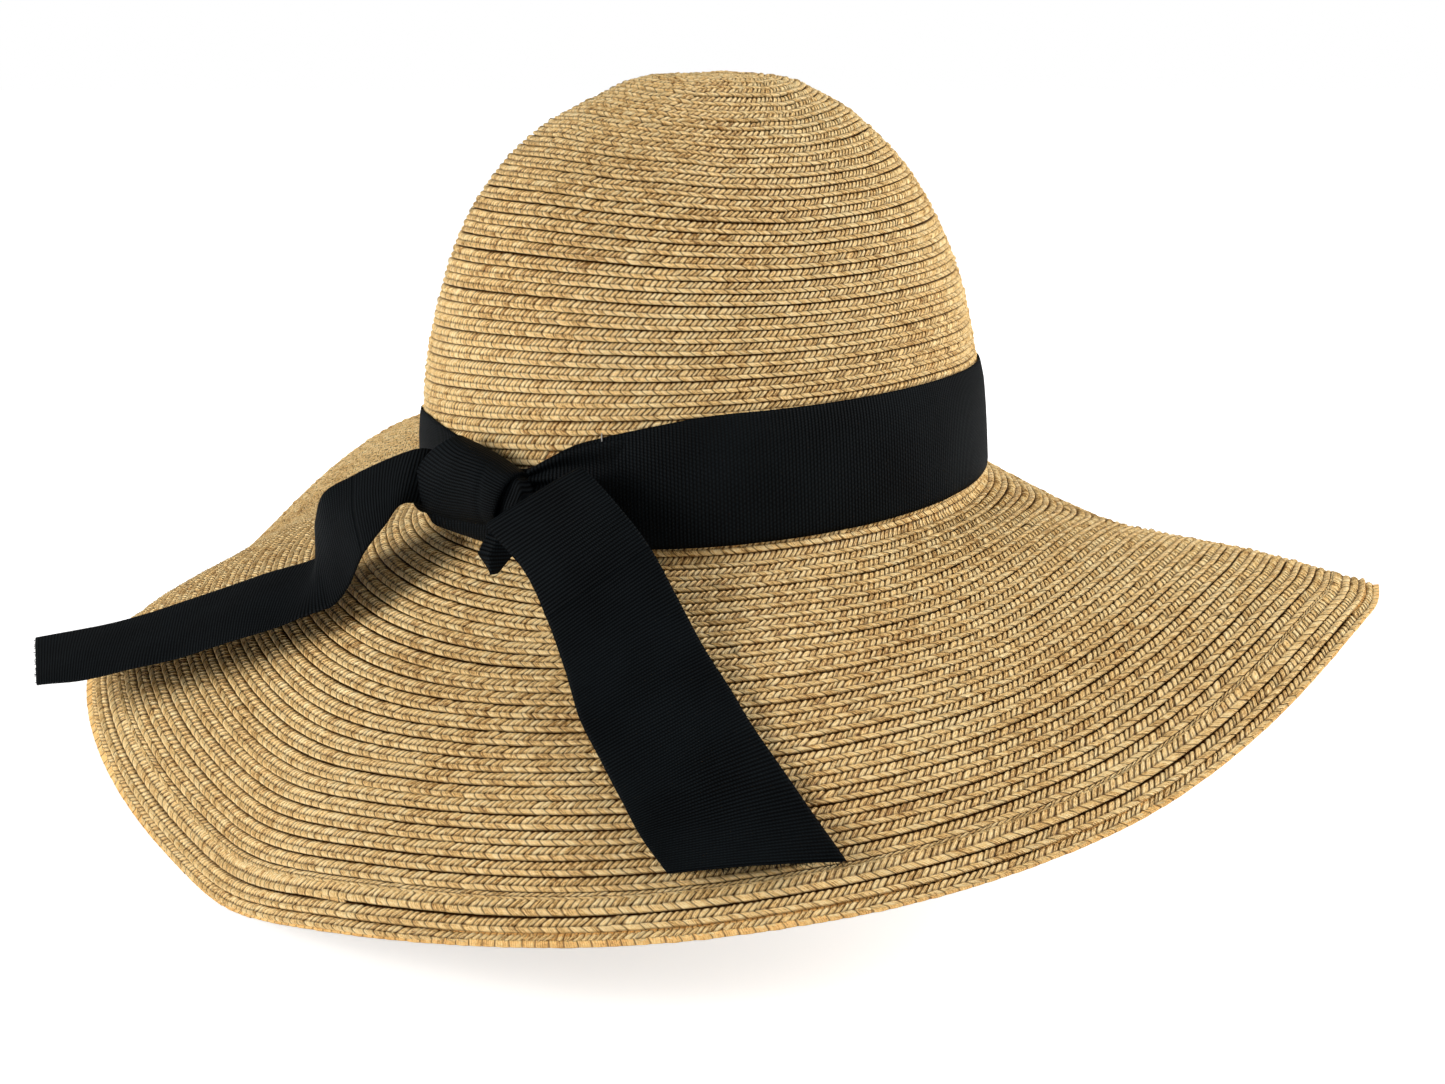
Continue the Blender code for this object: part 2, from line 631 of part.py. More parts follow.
def build_drawcord_knot():
    at_knot = inside_places(CORD_ANGLE)
    bpy.ops.mesh.primitive_uv_sphere_add(segments=14, ring_count=8, radius=CORD_KNOT_RADIUS)
    knot = bpy.context.active_object
    knot.name = "drawcord_knot"
    knot.data.transform(Matrix.Translation(at_knot(*CORD_KNOT_PLACE))
                        @ Matrix.Diagonal(CORD_KNOT_SCALE))
    place(knot, cotton)
    for side, name in ((-1, "drawcord_end_left"), (1, "drawcord_end_right")):
        points = [at_knot(side * x, y, z) for x, y, z in CORD_END_PATH]
        end = cord(name, smooth_path(points, 12), DRAWCORD_RADIUS, resolution=1)
        place(end, cotton, points[0])


def build_size_tag():
    at_tag = inside_places(TAG_ANGLE)
    grid = [[at_tag(x, y, z) for x in (-TAG_WIDE / 2, TAG_WIDE / 2)] for y, z in TAG_ROWS]
    tag = solidify(sheet("size_tag", grid), TAG_THICKNESS, offset=0.0)
    place(tag, label, at_tag(0, *TAG_ROWS[0]))


build_crown()
build_brim()
build_rim_wire()
build_band()
build_knot()
build_gather()
build_tails()
build_sweatband()
build_drawcord_knot()
build_size_tag()
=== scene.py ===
# A wide-brimmed hat of sewn straw braid, with a grosgrain band knotted at its front left, two
# ribbon tails, a wired rim, and a sweatband, drawcord and size tag inside the head opening.
# Metres, +Z up, front towards -Y. Shapes are worked out about the centre of the head opening;
# new_mesh moves them by STAND to where the finished hat stands. The "break" is the line where
# the crown turns into the brim. A "run" is a distance along the hat's outer face: from the tip
# down the crown to the break, and on out to the rim. Angles turn anticlockwise from +X.
import math

import bpy
import numpy as np
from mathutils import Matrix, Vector


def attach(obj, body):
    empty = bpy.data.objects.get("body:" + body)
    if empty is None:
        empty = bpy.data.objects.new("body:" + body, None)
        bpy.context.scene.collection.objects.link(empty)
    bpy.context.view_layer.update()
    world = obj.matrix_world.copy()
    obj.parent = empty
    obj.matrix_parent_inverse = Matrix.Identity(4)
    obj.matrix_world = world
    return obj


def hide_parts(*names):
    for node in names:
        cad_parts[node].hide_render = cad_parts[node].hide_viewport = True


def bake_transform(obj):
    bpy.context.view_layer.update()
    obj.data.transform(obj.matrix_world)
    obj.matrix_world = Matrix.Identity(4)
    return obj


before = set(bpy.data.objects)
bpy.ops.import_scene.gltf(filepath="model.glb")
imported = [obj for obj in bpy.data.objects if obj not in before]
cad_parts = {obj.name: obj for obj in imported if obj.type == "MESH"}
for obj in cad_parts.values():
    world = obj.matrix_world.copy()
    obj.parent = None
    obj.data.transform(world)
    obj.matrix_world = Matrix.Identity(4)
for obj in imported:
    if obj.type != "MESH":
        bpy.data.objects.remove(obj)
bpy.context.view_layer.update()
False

# ---------------------------------------------------------------- driving dimensions
HEAD_HALF_WIDTH = 0.0940        # half width of the crown's outer face at the break, along X
HEAD_HALF_DEPTH = 0.0960        # the same along Y
CROWN_HEIGHT = 0.1355
CROWN_POWER_FALL = 2.4          # superellipse powers of the crown's profile
CROWN_POWER_SIDE = 2.35
CROWN_SIT = (-0.0020, -0.0060)  # how far the crown sits off the opening's centre towards its top
TIP_LEAN = 0.0035               # the last rows lean this far to +X
TIP_TILT = 0.0068               # and rise on that side
ROW_TILT_LOW = (0.0128, -0.0064)    # tilt of the rows near the break, along X and along Y
ROW_TILT_TOP = (-0.0060, 0.0095)    # the same near the tip
ROW_WARP_2 = (-0.0009, 0.0023)      # two-lobed and three-lobed warp of the upper rows
ROW_WARP_3 = (0.0012, -0.0017)
BREAK_TILT = (0.0056, 0.0060)       # tilt of the break line itself
BREAK_BLEND = 0.25                  # share of the crown's height where the break's tilt takes over
TIP_FLAT_RADIUS = 0.0090            # flat disc made by the first coils of the braid
TIP_FLAT_BLEND = 0.030              # run over which the disc passes into the crown
BRAID_THICKNESS = 0.0018
CLEAR = 0.0004                      # gap between pieces that lie on one another
STAND = (0.00578, -0.00731, 0.10731)    # from the head opening's centre to the hat's origin

BRIM_WIDTH = 0.1351                 # along the surface, from the break to the rim
BRIM_STEPS = 240
# How steeply the brim falls, in degrees: (inner, middle, outer) for every 30 degrees round.
BRIM_FALL = [
    (27, 25, 42), (36, 33, 35), (32, 30, 28), (16, 18, 22), (-1, 2, 20), (9, 24, 36),
    (30, 22, 45), (33, 46, 59), (41, 35, 46), (30, 31, 41), (30, 19, 36), (12, 3, 15),
]
CROWN_ROWS, BRIM_ROWS = 45, 28
EDGE_ROWS = 3                       # the last rows are a second length of braid
ROW_PITCH = BRIM_WIDTH / BRIM_ROWS  # distance between neighbouring rows of the brim

RIBBON = 0.0007                     # room that one layer of ribbon takes up
RIBBON_THICKNESS = 0.0006           # its modelled thickness
RIB = 0.00112                       # spacing of the grosgrain's ribs
BAND_WIDTH = 0.0320
BAND_LOW = (0.0035, 0.0062, 0.0048)     # band's lower edge: mean height, swing along X, along Y
TACKS = (("band_tack_front", -108), ("band_tack_right", 10), ("band_tack_back", 110))

KNOT_ANGLE = -130.5
KNOT_HEIGHT = 0.0155
KNOT_WIDE, KNOT_DEPTH = 0.034, 0.014

SWEATBAND_LOW, SWEATBAND_TALL = 0.0015, 0.030
SWEATBAND_TOP = SWEATBAND_LOW + SWEATBAND_TALL
CORD_ANGLE, CORD_END, CORD_RADIUS = 96, 0.020, 0.00085
TAG_ANGLE, TAG_WIDE, TAG_TALL = 62, 0.022, 0.013


# ---------------------------------------------------------------- curves and noise
def smoothstep(share):
    return share * share * (3 - 2 * share)


def running_length(points):
    """Length along a line of points, from its first point to each one."""
    return np.concatenate([[0], np.cumsum(np.linalg.norm(np.diff(points, axis=0), axis=1))])


def catmull_rom(before, start, end, after, share):
    return 0.5 * (2 * start + (end - before) * share
                  + (2 * before - 5 * start + 4 * end - after) * share ** 2
                  + (3 * start - before - 3 * end + after) * share ** 3)


def smooth_path(stations, count):
    """count points along a smooth curve through the stations (any number of columns)."""
    stations = np.asarray(stations, float)
    stations = np.vstack([2 * stations[0] - stations[1], stations,
                          2 * stations[-1] - stations[-2]])
    spans = len(stations) - 3
    place = np.linspace(0, spans, count)
    k = np.minimum(place.astype(int), spans - 1)
    return catmull_rom(*(stations[k + i] for i in range(4)), (place - k)[:, None])


def even_path(stations, count):
    """Evenly spaced stations along a smooth path; columns are the two edges' x, y, z."""
    rough = smooth_path(stations, 400)
    run = running_length((rough[:, :3] + rough[:, 3:6]) / 2)
    at = np.linspace(0, run[-1], count)
    return np.stack([np.interp(at, run, column) for column in rough.T], 1)


def ring_angles(count):
    return np.arange(count) * 2 * math.pi / count


def smooth_noise(count, cell, seed):
    """Smooth noise with features cell samples long; its end runs on into its start."""
    cells = max(4, int(round(count / cell)))
    values = np.random.default_rng(seed).uniform(-1, 1, cells)
    place = np.arange(count) / count * cells
    i = np.floor(place).astype(int)
    share = smoothstep(place - i)
    return values[i % cells] * (1 - share) + values[(i + 1) % cells] * share


def smooth_noise_grid(shape, cells, seed):
    """Smooth noise over a grid of the given shape, with cells[0] by cells[1] features."""
    values = np.random.default_rng(seed).normal(0, 1, (cells[0] + 3, cells[1] + 3))
    place_i, place_j = (np.linspace(0, c, n) for c, n in zip(cells, shape))
    i, j = place_i.astype(int), place_j.astype(int)
    share_i = smoothstep((place_i - i)[:, None])
    share_j = smoothstep((place_j - j)[None])
    near = values[i][:, j] * (1 - share_i) + values[i + 1][:, j] * share_i
    far = values[i][:, j + 1] * (1 - share_i) + values[i + 1][:, j + 1] * share_i
    return near * (1 - share_j) + far * share_j


# ---------------------------------------------------------------- the hat's surface
def crown_profile():
    """Run, radius share and height share of points down the crown's profile."""
    rise = 1 - np.linspace(0, 1, 400) ** 1.6
    radius = (1 - rise ** CROWN_POWER_FALL) ** (1 / CROWN_POWER_SIDE)
    run = running_length(np.stack([radius * HEAD_HALF_WIDTH, rise * CROWN_HEIGHT], 1))
    return run, radius, rise


PROFILE_RUN, PROFILE_RADIUS, PROFILE_RISE = crown_profile()
CROWN_RUN = float(PROFILE_RUN[-1])
HAT_RUN = CROWN_RUN + BRIM_WIDTH


def break_height(angle):
    return BREAK_TILT[0] * np.cos(angle) + BREAK_TILT[1] * np.sin(angle)


def crown_surface(run, angle):
    """Point of the crown's outer face."""
    run, angle = np.broadcast_arrays(np.asarray(run, float), np.asarray(angle, float))
    radius = np.interp(run, PROFILE_RUN, PROFILE_RADIUS)
    rise = np.interp(run, PROFILE_RUN, PROFILE_RISE)
    cos, sin = np.cos(angle), np.sin(angle)
    low = smoothstep(np.clip(1 - rise / BREAK_BLEND, 0, 1))
    tilt_x, tilt_y = (near_break * (1 - rise) + near_tip * rise
                      for near_break, near_tip in zip(ROW_TILT_LOW, ROW_TILT_TOP))
    tilt = TIP_TILT * radius * rise ** 4 * cos + radius * (tilt_x * cos + tilt_y * sin)
    warp = radius * rise * (
        ROW_WARP_2[0] * np.cos(2 * angle) + ROW_WARP_2[1] * np.sin(2 * angle)
        + ROW_WARP_3[0] * np.cos(3 * angle) + ROW_WARP_3[1] * np.sin(3 * angle))
    off_disc = smoothstep(np.clip((run - TIP_FLAT_RADIUS) / TIP_FLAT_BLEND, 0, 1))
    disc_rise = np.interp(TIP_FLAT_RADIUS, PROFILE_RUN, PROFILE_RISE)
    z = CROWN_HEIGHT * rise * off_disc + CROWN_HEIGHT * (1 - off_disc) * disc_rise
    z = z + off_disc * (tilt * (1 - low) + warp) + low * break_height(angle)
    x = (CROWN_SIT[0] * np.minimum(rise / 0.3, 1) + TIP_LEAN * rise ** 6
         + HEAD_HALF_WIDTH * radius * cos)
    y = CROWN_SIT[1] * rise + HEAD_HALF_DEPTH * radius * sin
    return np.stack([x, y, z], -1)


def brim_fall(share, angle):
    """Slope of the brim in radians at a share of its width."""
    table = np.array(BRIM_FALL, float)
    count = len(table)
    place = (angle / (2 * np.pi) * count) % count
    k = np.floor(place).astype(int)
    around = [table[(k + i) % count] for i in (-1, 0, 1, 2)]
    slopes = catmull_rom(*around, (place - k)[..., None])
    weights = np.stack([(1 - share) * (1 - 2 * share), 4 * share * (1 - share),
                        share * (2 * share - 1)], -1)
    return np.radians((slopes * weights).sum(-1))


def brim_rings(angle):
    """Outer face of the brim as BRIM_STEPS + 1 rings of points at the given angles."""
    slope = brim_fall(np.linspace(0, 1, BRIM_STEPS + 1)[:, None], angle[None])
    normal_x, normal_y = np.cos(angle) / HEAD_HALF_WIDTH, np.sin(angle) / HEAD_HALF_DEPTH
    size = np.hypot(normal_x, normal_y)
    step = BRIM_WIDTH / BRIM_STEPS
    middle = (slope[1:] + slope[:-1]) / 2
    start = np.zeros((1, len(angle)))
    out = np.concatenate([start, np.cumsum(np.cos(middle), 0) * step])
    down = np.concatenate([start, np.cumsum(np.sin(middle), 0) * step])
    return np.stack([HEAD_HALF_WIDTH * np.cos(angle) + normal_x / size * out,
                     HEAD_HALF_DEPTH * np.sin(angle) + normal_y / size * out,
                     break_height(angle) - down], -1)


RIM_DRAWN_AT = ([-33.0, -24.0, -6.0, 16.0], [0.0, 1.0, 1.0, 0.0])   # degrees, share of the draw
RIM_DRAWN_IN, RIM_DRAWN_UP = 0.0048, 0.0022


def draw_rim(rings, runs):
    """Draw the rim in and up a little on the right."""
    angle = np.degrees(np.arctan2(rings[..., 1], rings[..., 0]))
    outer = np.interp(runs / BRIM_WIDTH, [0.25, 1.0], [0.0, 1.0])[:, None] ** 1.5
    draw = smoothstep(np.interp(angle, *RIM_DRAWN_AT)) * outer
    reach = np.linalg.norm(rings[..., :2], axis=-1)
    rings[..., :2] *= (1 - RIM_DRAWN_IN * draw / reach)[..., None]
    rings[..., 2] += RIM_DRAWN_UP * draw


class Grid:
    """A surface sampled on a fine grid, with smoothed normals, read by bilinear interpolation."""

    def __init__(self, runs, points):
        self.runs, self.points, self.around = runs, points, points.shape[1]
        normal = np.cross(np.gradient(points, axis=0),
                          np.roll(points, -1, 1) - np.roll(points, 1, 1))
        size = np.linalg.norm(normal, axis=-1, keepdims=True)
        normal = np.where(size > 1e-14, normal / np.maximum(size, 1e-14), [0.0, 0.0, 1.0])
        for _ in range(8):
            normal[1:-1] = (normal[:-2] + 2 * normal[1:-1] + normal[2:]) / 4
        self.normals = normal / np.linalg.norm(normal, axis=-1, keepdims=True)

    def at(self, run, angle, off):
        """Point at a run and angle, lifted off the face along its normal."""
        run, angle, off = np.broadcast_arrays(run, angle, off)
        down = np.interp(run, self.runs, np.arange(len(self.runs)))
        down = np.clip(down, 0, len(self.runs) - 1 - 1e-6)
        i = down.astype(int)
        down = (down - i)[..., None]
        turn = (angle / (2 * math.pi) * self.around) % self.around
        j = turn.astype(int) % self.around
        turn = (turn - np.floor(turn))[..., None]
        k = (j + 1) % self.around
        point, normal = (
            (grid[i, j] * (1 - down) + grid[i + 1, j] * down) * (1 - turn)
            + (grid[i, k] * (1 - down) + grid[i + 1, k] * down) * turn
            for grid in (self.points, self.normals))
        return point + normal * off[..., None]


def hat_grid():
    angles = ring_angles(720)
    crown_runs = np.linspace(0, CROWN_RUN, 321)
    brim_runs = np.linspace(0, BRIM_WIDTH, BRIM_STEPS + 1)
    brim = brim_rings(angles)
    draw_rim(brim, brim_runs)
    return Grid(np.concatenate([crown_runs, CROWN_RUN + brim_runs[1:]]),
                np.concatenate([crown_surface(crown_runs[:, None], angles[None]), brim[1:]]))


hat = hat_grid()


def crown_runs_at(heights, angles, from_share, steps):
    """Runs where the crown's face reaches the heights, searched from a share of its run down."""
    runs = np.linspace(CROWN_RUN * from_share, CROWN_RUN, steps)
    z = crown_surface(runs[:, None], angles[None])[..., 2]
    return np.array([np.interp(-heights[k], -z[:, k], runs) for k in range(len(angles))])


class CrownSpot:
    """A spot on the crown's side, with directions along the band, outwards and up."""

    def __init__(self, degrees, height):
        angle = math.radians(degrees)
        run = crown_runs_at([height], np.array([angle]), from_share=0.45, steps=160)[0]
        eps = 1e-4
        turn = eps / 0.09
        out = np.cross(crown_surface(run + eps, angle) - crown_surface(run - eps, angle),
                       crown_surface(run, angle + turn) - crown_surface(run, angle - turn))
        self.point = crown_surface(run, angle)
        self.out = out / np.linalg.norm(out)
        up = crown_surface(run - 0.001, angle) - self.point
        self.up = up / np.linalg.norm(up)
        along = np.cross(self.up, self.out)
        self.along = along / np.linalg.norm(along)

    def place(self, along, out, up):
        along, out, up = np.broadcast_arrays(np.asarray(along, float), out, up)
        return (self.point + along[..., None] * self.along + out[..., None] * self.out
                + up[..., None] * self.up)

    def inside(self, along, inward, up):
        """Place measured inwards from the braid's inner face."""
        return self.place(along, -(inward + BRAID_THICKNESS), up)


# ---------------------------------------------------------------- mesh helpers
def new_mesh(name, verts, faces, lay, material):
    """Mesh object; faces is (quads, other faces), lay the vertex attribute the shaders read."""
    verts = np.asarray(verts, float).reshape(-1, 3) + np.array(STAND)
    quads, others = faces
    loops, starts = quads.ravel(), np.arange(0, quads.size, 4)
    totals = np.full(len(quads), 4)
    for face in others:
        starts = np.append(starts, len(loops))
        totals = np.append(totals, len(face))
        loops = np.append(loops, face)
    mesh = bpy.data.meshes.new(name)
    mesh.vertices.add(len(verts))
    mesh.vertices.foreach_set("co", verts.astype(np.float32).ravel())
    mesh.loops.add(len(loops))
    mesh.polygons.add(len(starts))
    mesh.loops.foreach_set("vertex_index", loops.astype(np.int32))
    mesh.polygons.foreach_set("loop_start", starts.astype(np.int32))
    mesh.polygons.foreach_set("loop_total", totals.astype(np.int32))
    mesh.polygons.foreach_set("use_smooth", np.full(len(starts), True))
    attribute = mesh.attributes.new("lay", "FLOAT_VECTOR", "POINT")
    attribute.data.foreach_set("vector", np.asarray(lay, np.float32).ravel())
    mesh.update(calc_edges=True)
    piece = bpy.data.objects.new(name, mesh)
    bpy.context.scene.collection.objects.link(piece)
    mesh.materials.append(material)
    return piece


def stack_lay(*columns):
    return np.stack(np.broadcast_arrays(*columns), -1)


def tube_faces(sections, sides, closed=False, inside_out=False, first=0):
    """Quads and end caps of a tube; closed joins the last section to the first instead."""
    i = np.arange(sections if closed else sections - 1)[:, None]
    j = np.arange(sides)[None]
    k = (i + 1) % sections
    beside = (j + 1) % sides
    quads = np.stack([i * sides + j, i * sides + beside, k * sides + beside, k * sides + j], -1)
    quads = quads.reshape(-1, 4) + first
    start = first + np.arange(sides)
    caps = [] if closed else [start[::-1], start + (sections - 1) * sides]
    if inside_out:
        quads, caps = quads[:, ::-1], [cap[::-1] for cap in caps]
    return quads, caps


def ring_sections(path, radius, cos_side, sin_side, sides):
    """Round sections about a path, in the plane of two directions."""
    turn = ring_angles(sides)
    radius = np.broadcast_to(np.asarray(radius, float), (len(path),))[:, None, None]
    return path[:, None] + radius * (np.cos(turn)[None, :, None] * cos_side[:, None]
                                     + np.sin(turn)[None, :, None] * sin_side[:, None])


def round_tube(name, path, radius, sides, closed, material):
    """A round tube along a path; radius is a number or one for each point."""
    path = np.asarray(path, float)
    count = len(path)
    if closed:
        run = np.roll(path, -1, 0) - np.roll(path, 1, 0)
    else:
        run = np.gradient(path, axis=0)
    run /= np.linalg.norm(run, axis=1, keepdims=True)
    side = np.zeros_like(run)
    across = np.cross(run[0], (0.0, 0.0, 1.0) if abs(run[0, 2]) < 0.9 else (1.0, 0.0, 0.0))
    for i in range(count):
        across = across - run[i] * np.dot(across, run[i])
        across /= np.linalg.norm(across)
        side[i] = across
    if closed:                                    # take out the twist left at the join
        first_up = np.cross(side[0], run[0])
        twist = math.atan2(np.dot(side[-1], first_up), np.dot(side[-1], side[0]))
        turn = -twist * np.arange(count) / count
        up = np.cross(side, run)
        side = side * np.cos(turn)[:, None] + up * np.sin(turn)[:, None]
    verts = ring_sections(path, radius, np.cross(side, run), side, sides)
    lay = stack_lay(running_length(path)[:, None], np.arange(sides)[None] / sides, 0.0)
    return new_mesh(name, verts, tube_faces(count, sides, closed), lay, material)


def joined_tubes(name, tubes, lays, inside_out, material):
    """One mesh of many open tubes of the same size; tubes is a list of section arrays."""
    sections, sides = tubes[0].shape[:2]
    faces = [tube_faces(sections, sides, inside_out=inside_out, first=i * sections * sides)
             for i in range(len(tubes))]
    quads = np.concatenate([part for part, _ in faces])
    caps = [cap for _, pair in faces for cap in pair]
    return new_mesh(name, tubes, (quads, caps), lays, material)


def grid_normals(grid, closed=False):
    if closed:
        along = np.roll(grid, -1, 0) - np.roll(grid, 1, 0)
    else:
        along = np.gradient(grid, axis=0)
    normals = np.cross(along, np.gradient(grid, axis=1))
    return normals / np.maximum(np.linalg.norm(normals, axis=-1, keepdims=True), 1e-12)


def cloth_lay(grid):
    """Metres along and metres across a cloth at each point of its grid."""
    rows, columns = grid.shape[:2]
    along = running_length(grid[:, columns // 2])
    across = running_length(grid[rows // 2])
    return np.repeat(along[:, None], columns, 1), np.repeat(across[None], rows, 0)


def cloth(name, grid, thickness, material, seed, lay=None, closed=False):
    """A sheet of cloth about its middle surface, grid (along, across, 3); its edges are thin."""
    rows, columns = grid.shape[:2]
    along, across = lay or cloth_lay(grid)
    half = np.full(columns, thickness / 2)
    half[0] = half[-1] = thickness * 0.22
    lift = grid_normals(grid, closed) * half[None, :, None]
    verts = np.concatenate([grid + lift, (grid - lift)[:, ::-1]], 1)
    along, across = (np.concatenate([part, part[:, ::-1]], 1) for part in (along, across))
    quads, _ = tube_faces(rows, 2 * columns, closed)
    if not closed:
        j = np.arange(columns - 1)
        end = np.stack([j, j + 1, 2 * columns - 2 - j, 2 * columns - 1 - j], -1)
        quads = np.concatenate([quads, end[:, ::-1], end + (rows - 1) * 2 * columns])
    return new_mesh(name, verts, (quads, ()), stack_lay(along, across, seed), material)


# ---------------------------------------------------------------- shader helpers
class Value:
    """Output of a shader node; arithmetic on it adds Math nodes."""

    def __init__(self, nodes, socket):
        self.nodes, self.socket = nodes, socket

    def apply(self, operation, *others, clamp=False):
        return self.nodes.math(operation, self, *others, clamp=clamp)

    def __add__(self, other):
        return self.apply("ADD", other)

    def __sub__(self, other):
        return self.apply("SUBTRACT", other)

    def __rsub__(self, other):
        return self.nodes.math("SUBTRACT", other, self)

    def __mul__(self, other):
        return self.apply("MULTIPLY", other)

    def __truediv__(self, other):
        return self.apply("DIVIDE", other)

    def __pow__(self, other):
        return self.apply("POWER", other)

    def __abs__(self):
        return self.apply("ABSOLUTE")


class Nodes:
    """Adds nodes to one node tree."""

    def __init__(self, tree):
        self.tree = tree

    def feed(self, socket, value):
        if isinstance(value, Value):
            self.tree.links.new(value.socket, socket)
        elif isinstance(value, tuple):
            socket.default_value = (*value, 1)
        else:
            socket.default_value = value

    def put(self, kind, inputs=None, output=0, **settings):
        node = self.tree.nodes.new(kind)
        for key, value in settings.items():
            setattr(node, key, value)
        for key, value in (inputs or {}).items():
            self.feed(node.inputs[key], value)
        return Value(self, node.outputs[output])

    def math(self, operation, *values, clamp=False):
        return self.put("ShaderNodeMath", dict(enumerate(values)),
                        operation=operation, use_clamp=clamp)

    def ramp(self, value, *stops):
        """Colour ramp through (place, grey or colour) stops."""
        result = self.put("ShaderNodeValToRGB", {0: value})
        elements = result.socket.node.color_ramp.elements
        while len(elements) < len(stops):
            elements.new(0.5)
        for element, (place, colour) in zip(elements, stops):
            element.position = place
            element.color = (*colour, 1) if isinstance(colour, tuple) else (*[colour] * 3, 1)
        return result

    def mix(self, share, first, second):
        return self.put("ShaderNodeMix", {0: share, 6: first, 7: second}, 2, data_type="RGBA")

    def lay(self):
        """The three parts of the lay attribute."""
        lay = self.put("ShaderNodeAttribute", output="Vector",
                       attribute_name="lay", attribute_type="GEOMETRY")
        parts = self.put("ShaderNodeSeparateXYZ", {0: lay})
        return [Value(self, socket) for socket in parts.socket.node.outputs]

    def vector(self, *parts):
        return self.put("ShaderNodeCombineXYZ", dict(enumerate(parts)))

    def noise(self, *place, scale=1.0, detail=2.0, rough=0.5):
        """Noise at a place given by three values, or at the object's own coordinates."""
        if place:
            at = self.vector(*place)
        else:
            at = self.put("ShaderNodeTexCoord", output="Object")
        return self.put("ShaderNodeTexNoise", {"Vector": at, "Scale": scale, "Detail": detail,
                                               "Roughness": rough})

    def principled(self, inputs):
        for key, value in inputs.items():
            self.feed(self.tree.nodes["Principled BSDF"].inputs[key], value)

    def bump(self, height, distance, strength):
        self.principled({"Normal": self.put("ShaderNodeBump", {
            "Height": height, "Distance": distance, "Strength": strength})})

    def camera_ray(self):
        return self.put("ShaderNodeLightPath", output="Is Camera Ray")


def new_material(name):
    material = bpy.data.materials.new(name)
    material.use_nodes = True
    return material, Nodes(material.node_tree)


def arch(share):
    """0 at both ends of a share from 0 to 1, and 1 halfway."""
    return share * (1.0 - share) * 4.0


def half_wave(share):
    return (share * math.pi).apply("SINE")


# ---------------------------------------------------------------- materials
# The last colour is painted shade, mixed in at the gaps between the lobes, the row's edges, the
# valley beside the lip and the holes there.
def straw_material(name, light, middle, dark, painted_shade_colour):
    """Plaited straw: lay holds (loops along the row, place across the row, row)."""
    material, nodes = new_material(name)
    along, across, row = nodes.lay()

    # the loops, two lobes to each, and the strands that run through them
    loops = along + 0.25
    loop_share = loops.apply("FRACT")
    loop_arch = arch(loop_share)
    lobe_arch = arch((loops * 2.0).apply("FRACT"))
    lobe_number = (loops * 2.0).apply("FLOOR")
    in_lip = across.apply("GREATER_THAN", 0.60)
    lobe_tone = nodes.put("ShaderNodeTexWhiteNoise",
                          {0: nodes.vector(lobe_number, row, in_lip)}, "Value",
                          noise_dimensions="3D")
    wander = nodes.noise(along * 2.0, across * 3.0, row) * 0.9
    strands = ((loop_share * 6.0 + wander) * math.tau).apply("SINE")
    strands = strands * 0.5 + 0.5
    fibre = nodes.noise(along * 17.0, across * 3.0, row, detail=3.0, rough=0.65)
    speck = nodes.noise(along * 5.0, across * 6.5, row, rough=0.6)
    cloud = nodes.noise(scale=24.0, detail=3.0, rough=0.6)

    # colour of the straw itself, with the thin lines between its strands darker, partly their own
    # edges and partly painted shade: the factors weigh each pattern's part in it
    tone = lobe_tone * 0.44 + strands * 0.20
    tone = tone + (cloud - 0.5) * 0.55
    tone = tone + (fibre - 0.38) * 0.9
    tone = tone.apply("ADD", (speck - 0.5) * 1.1, clamp=True)
    straw = nodes.ramp(tone, (0.05, dark), (0.36, middle), (0.80, light))

    # rounded lobes with painted shade in the gaps between them; past 0.6 across the row lies its
    # lip, a slanting rope
    off_middle = (across - 0.33) / 0.29
    oval = lobe_arch - off_middle * off_middle * 0.50
    gap_top = nodes.ramp(oval * 0.8 + 0.2, (0.16, 0.0), (0.62, 0.8), (0.85, 1.0))
    notch = nodes.ramp(loop_arch, (0.55, 0.0), (0.95, 1.0)) * 0.22
    gap_top = gap_top.apply("MAXIMUM", notch)
    gap_lip = nodes.ramp(loop_arch, (0.0, 0.12), (0.36, 1.0))
    lip = nodes.ramp(across, (0.56, 0.0), (0.64, 1.0))
    crease = gap_top * (1.0 - lip) + gap_lip * lip

    # painted shade at the row's two edges, in the valley beside the lip and in the small holes
    # there
    under = nodes.ramp(across * 0.8 + 0.12,
                       (0.10, 0.0), (0.225, 1.0), (0.885, 1.0), (0.93, 0.30))
    valley = nodes.ramp(abs(across - 0.60), (0.0, 0.52), (0.085, 1.0))
    holes = nodes.ramp(speck + abs(across - 0.58) * 0.9, (0.36, 0.30), (0.45, 1.0))
    shade = (crease * under) * (valley * holes)
    nodes.principled({
        "Base Color": nodes.mix(shade, painted_shade_colour, straw),
        "Roughness": fibre * 0.40 + 0.24,
        "Specular IOR Level": 0.22,
        "Sheen Roughness": 0.4,
    })
    relief = crease ** 0.8 * 0.60 + fibre * 0.32
    relief = relief + strands * 0.20
    relief = relief + speck * 0.25
    nodes.bump(relief, distance=0.0008, strength=1.0)
    return material


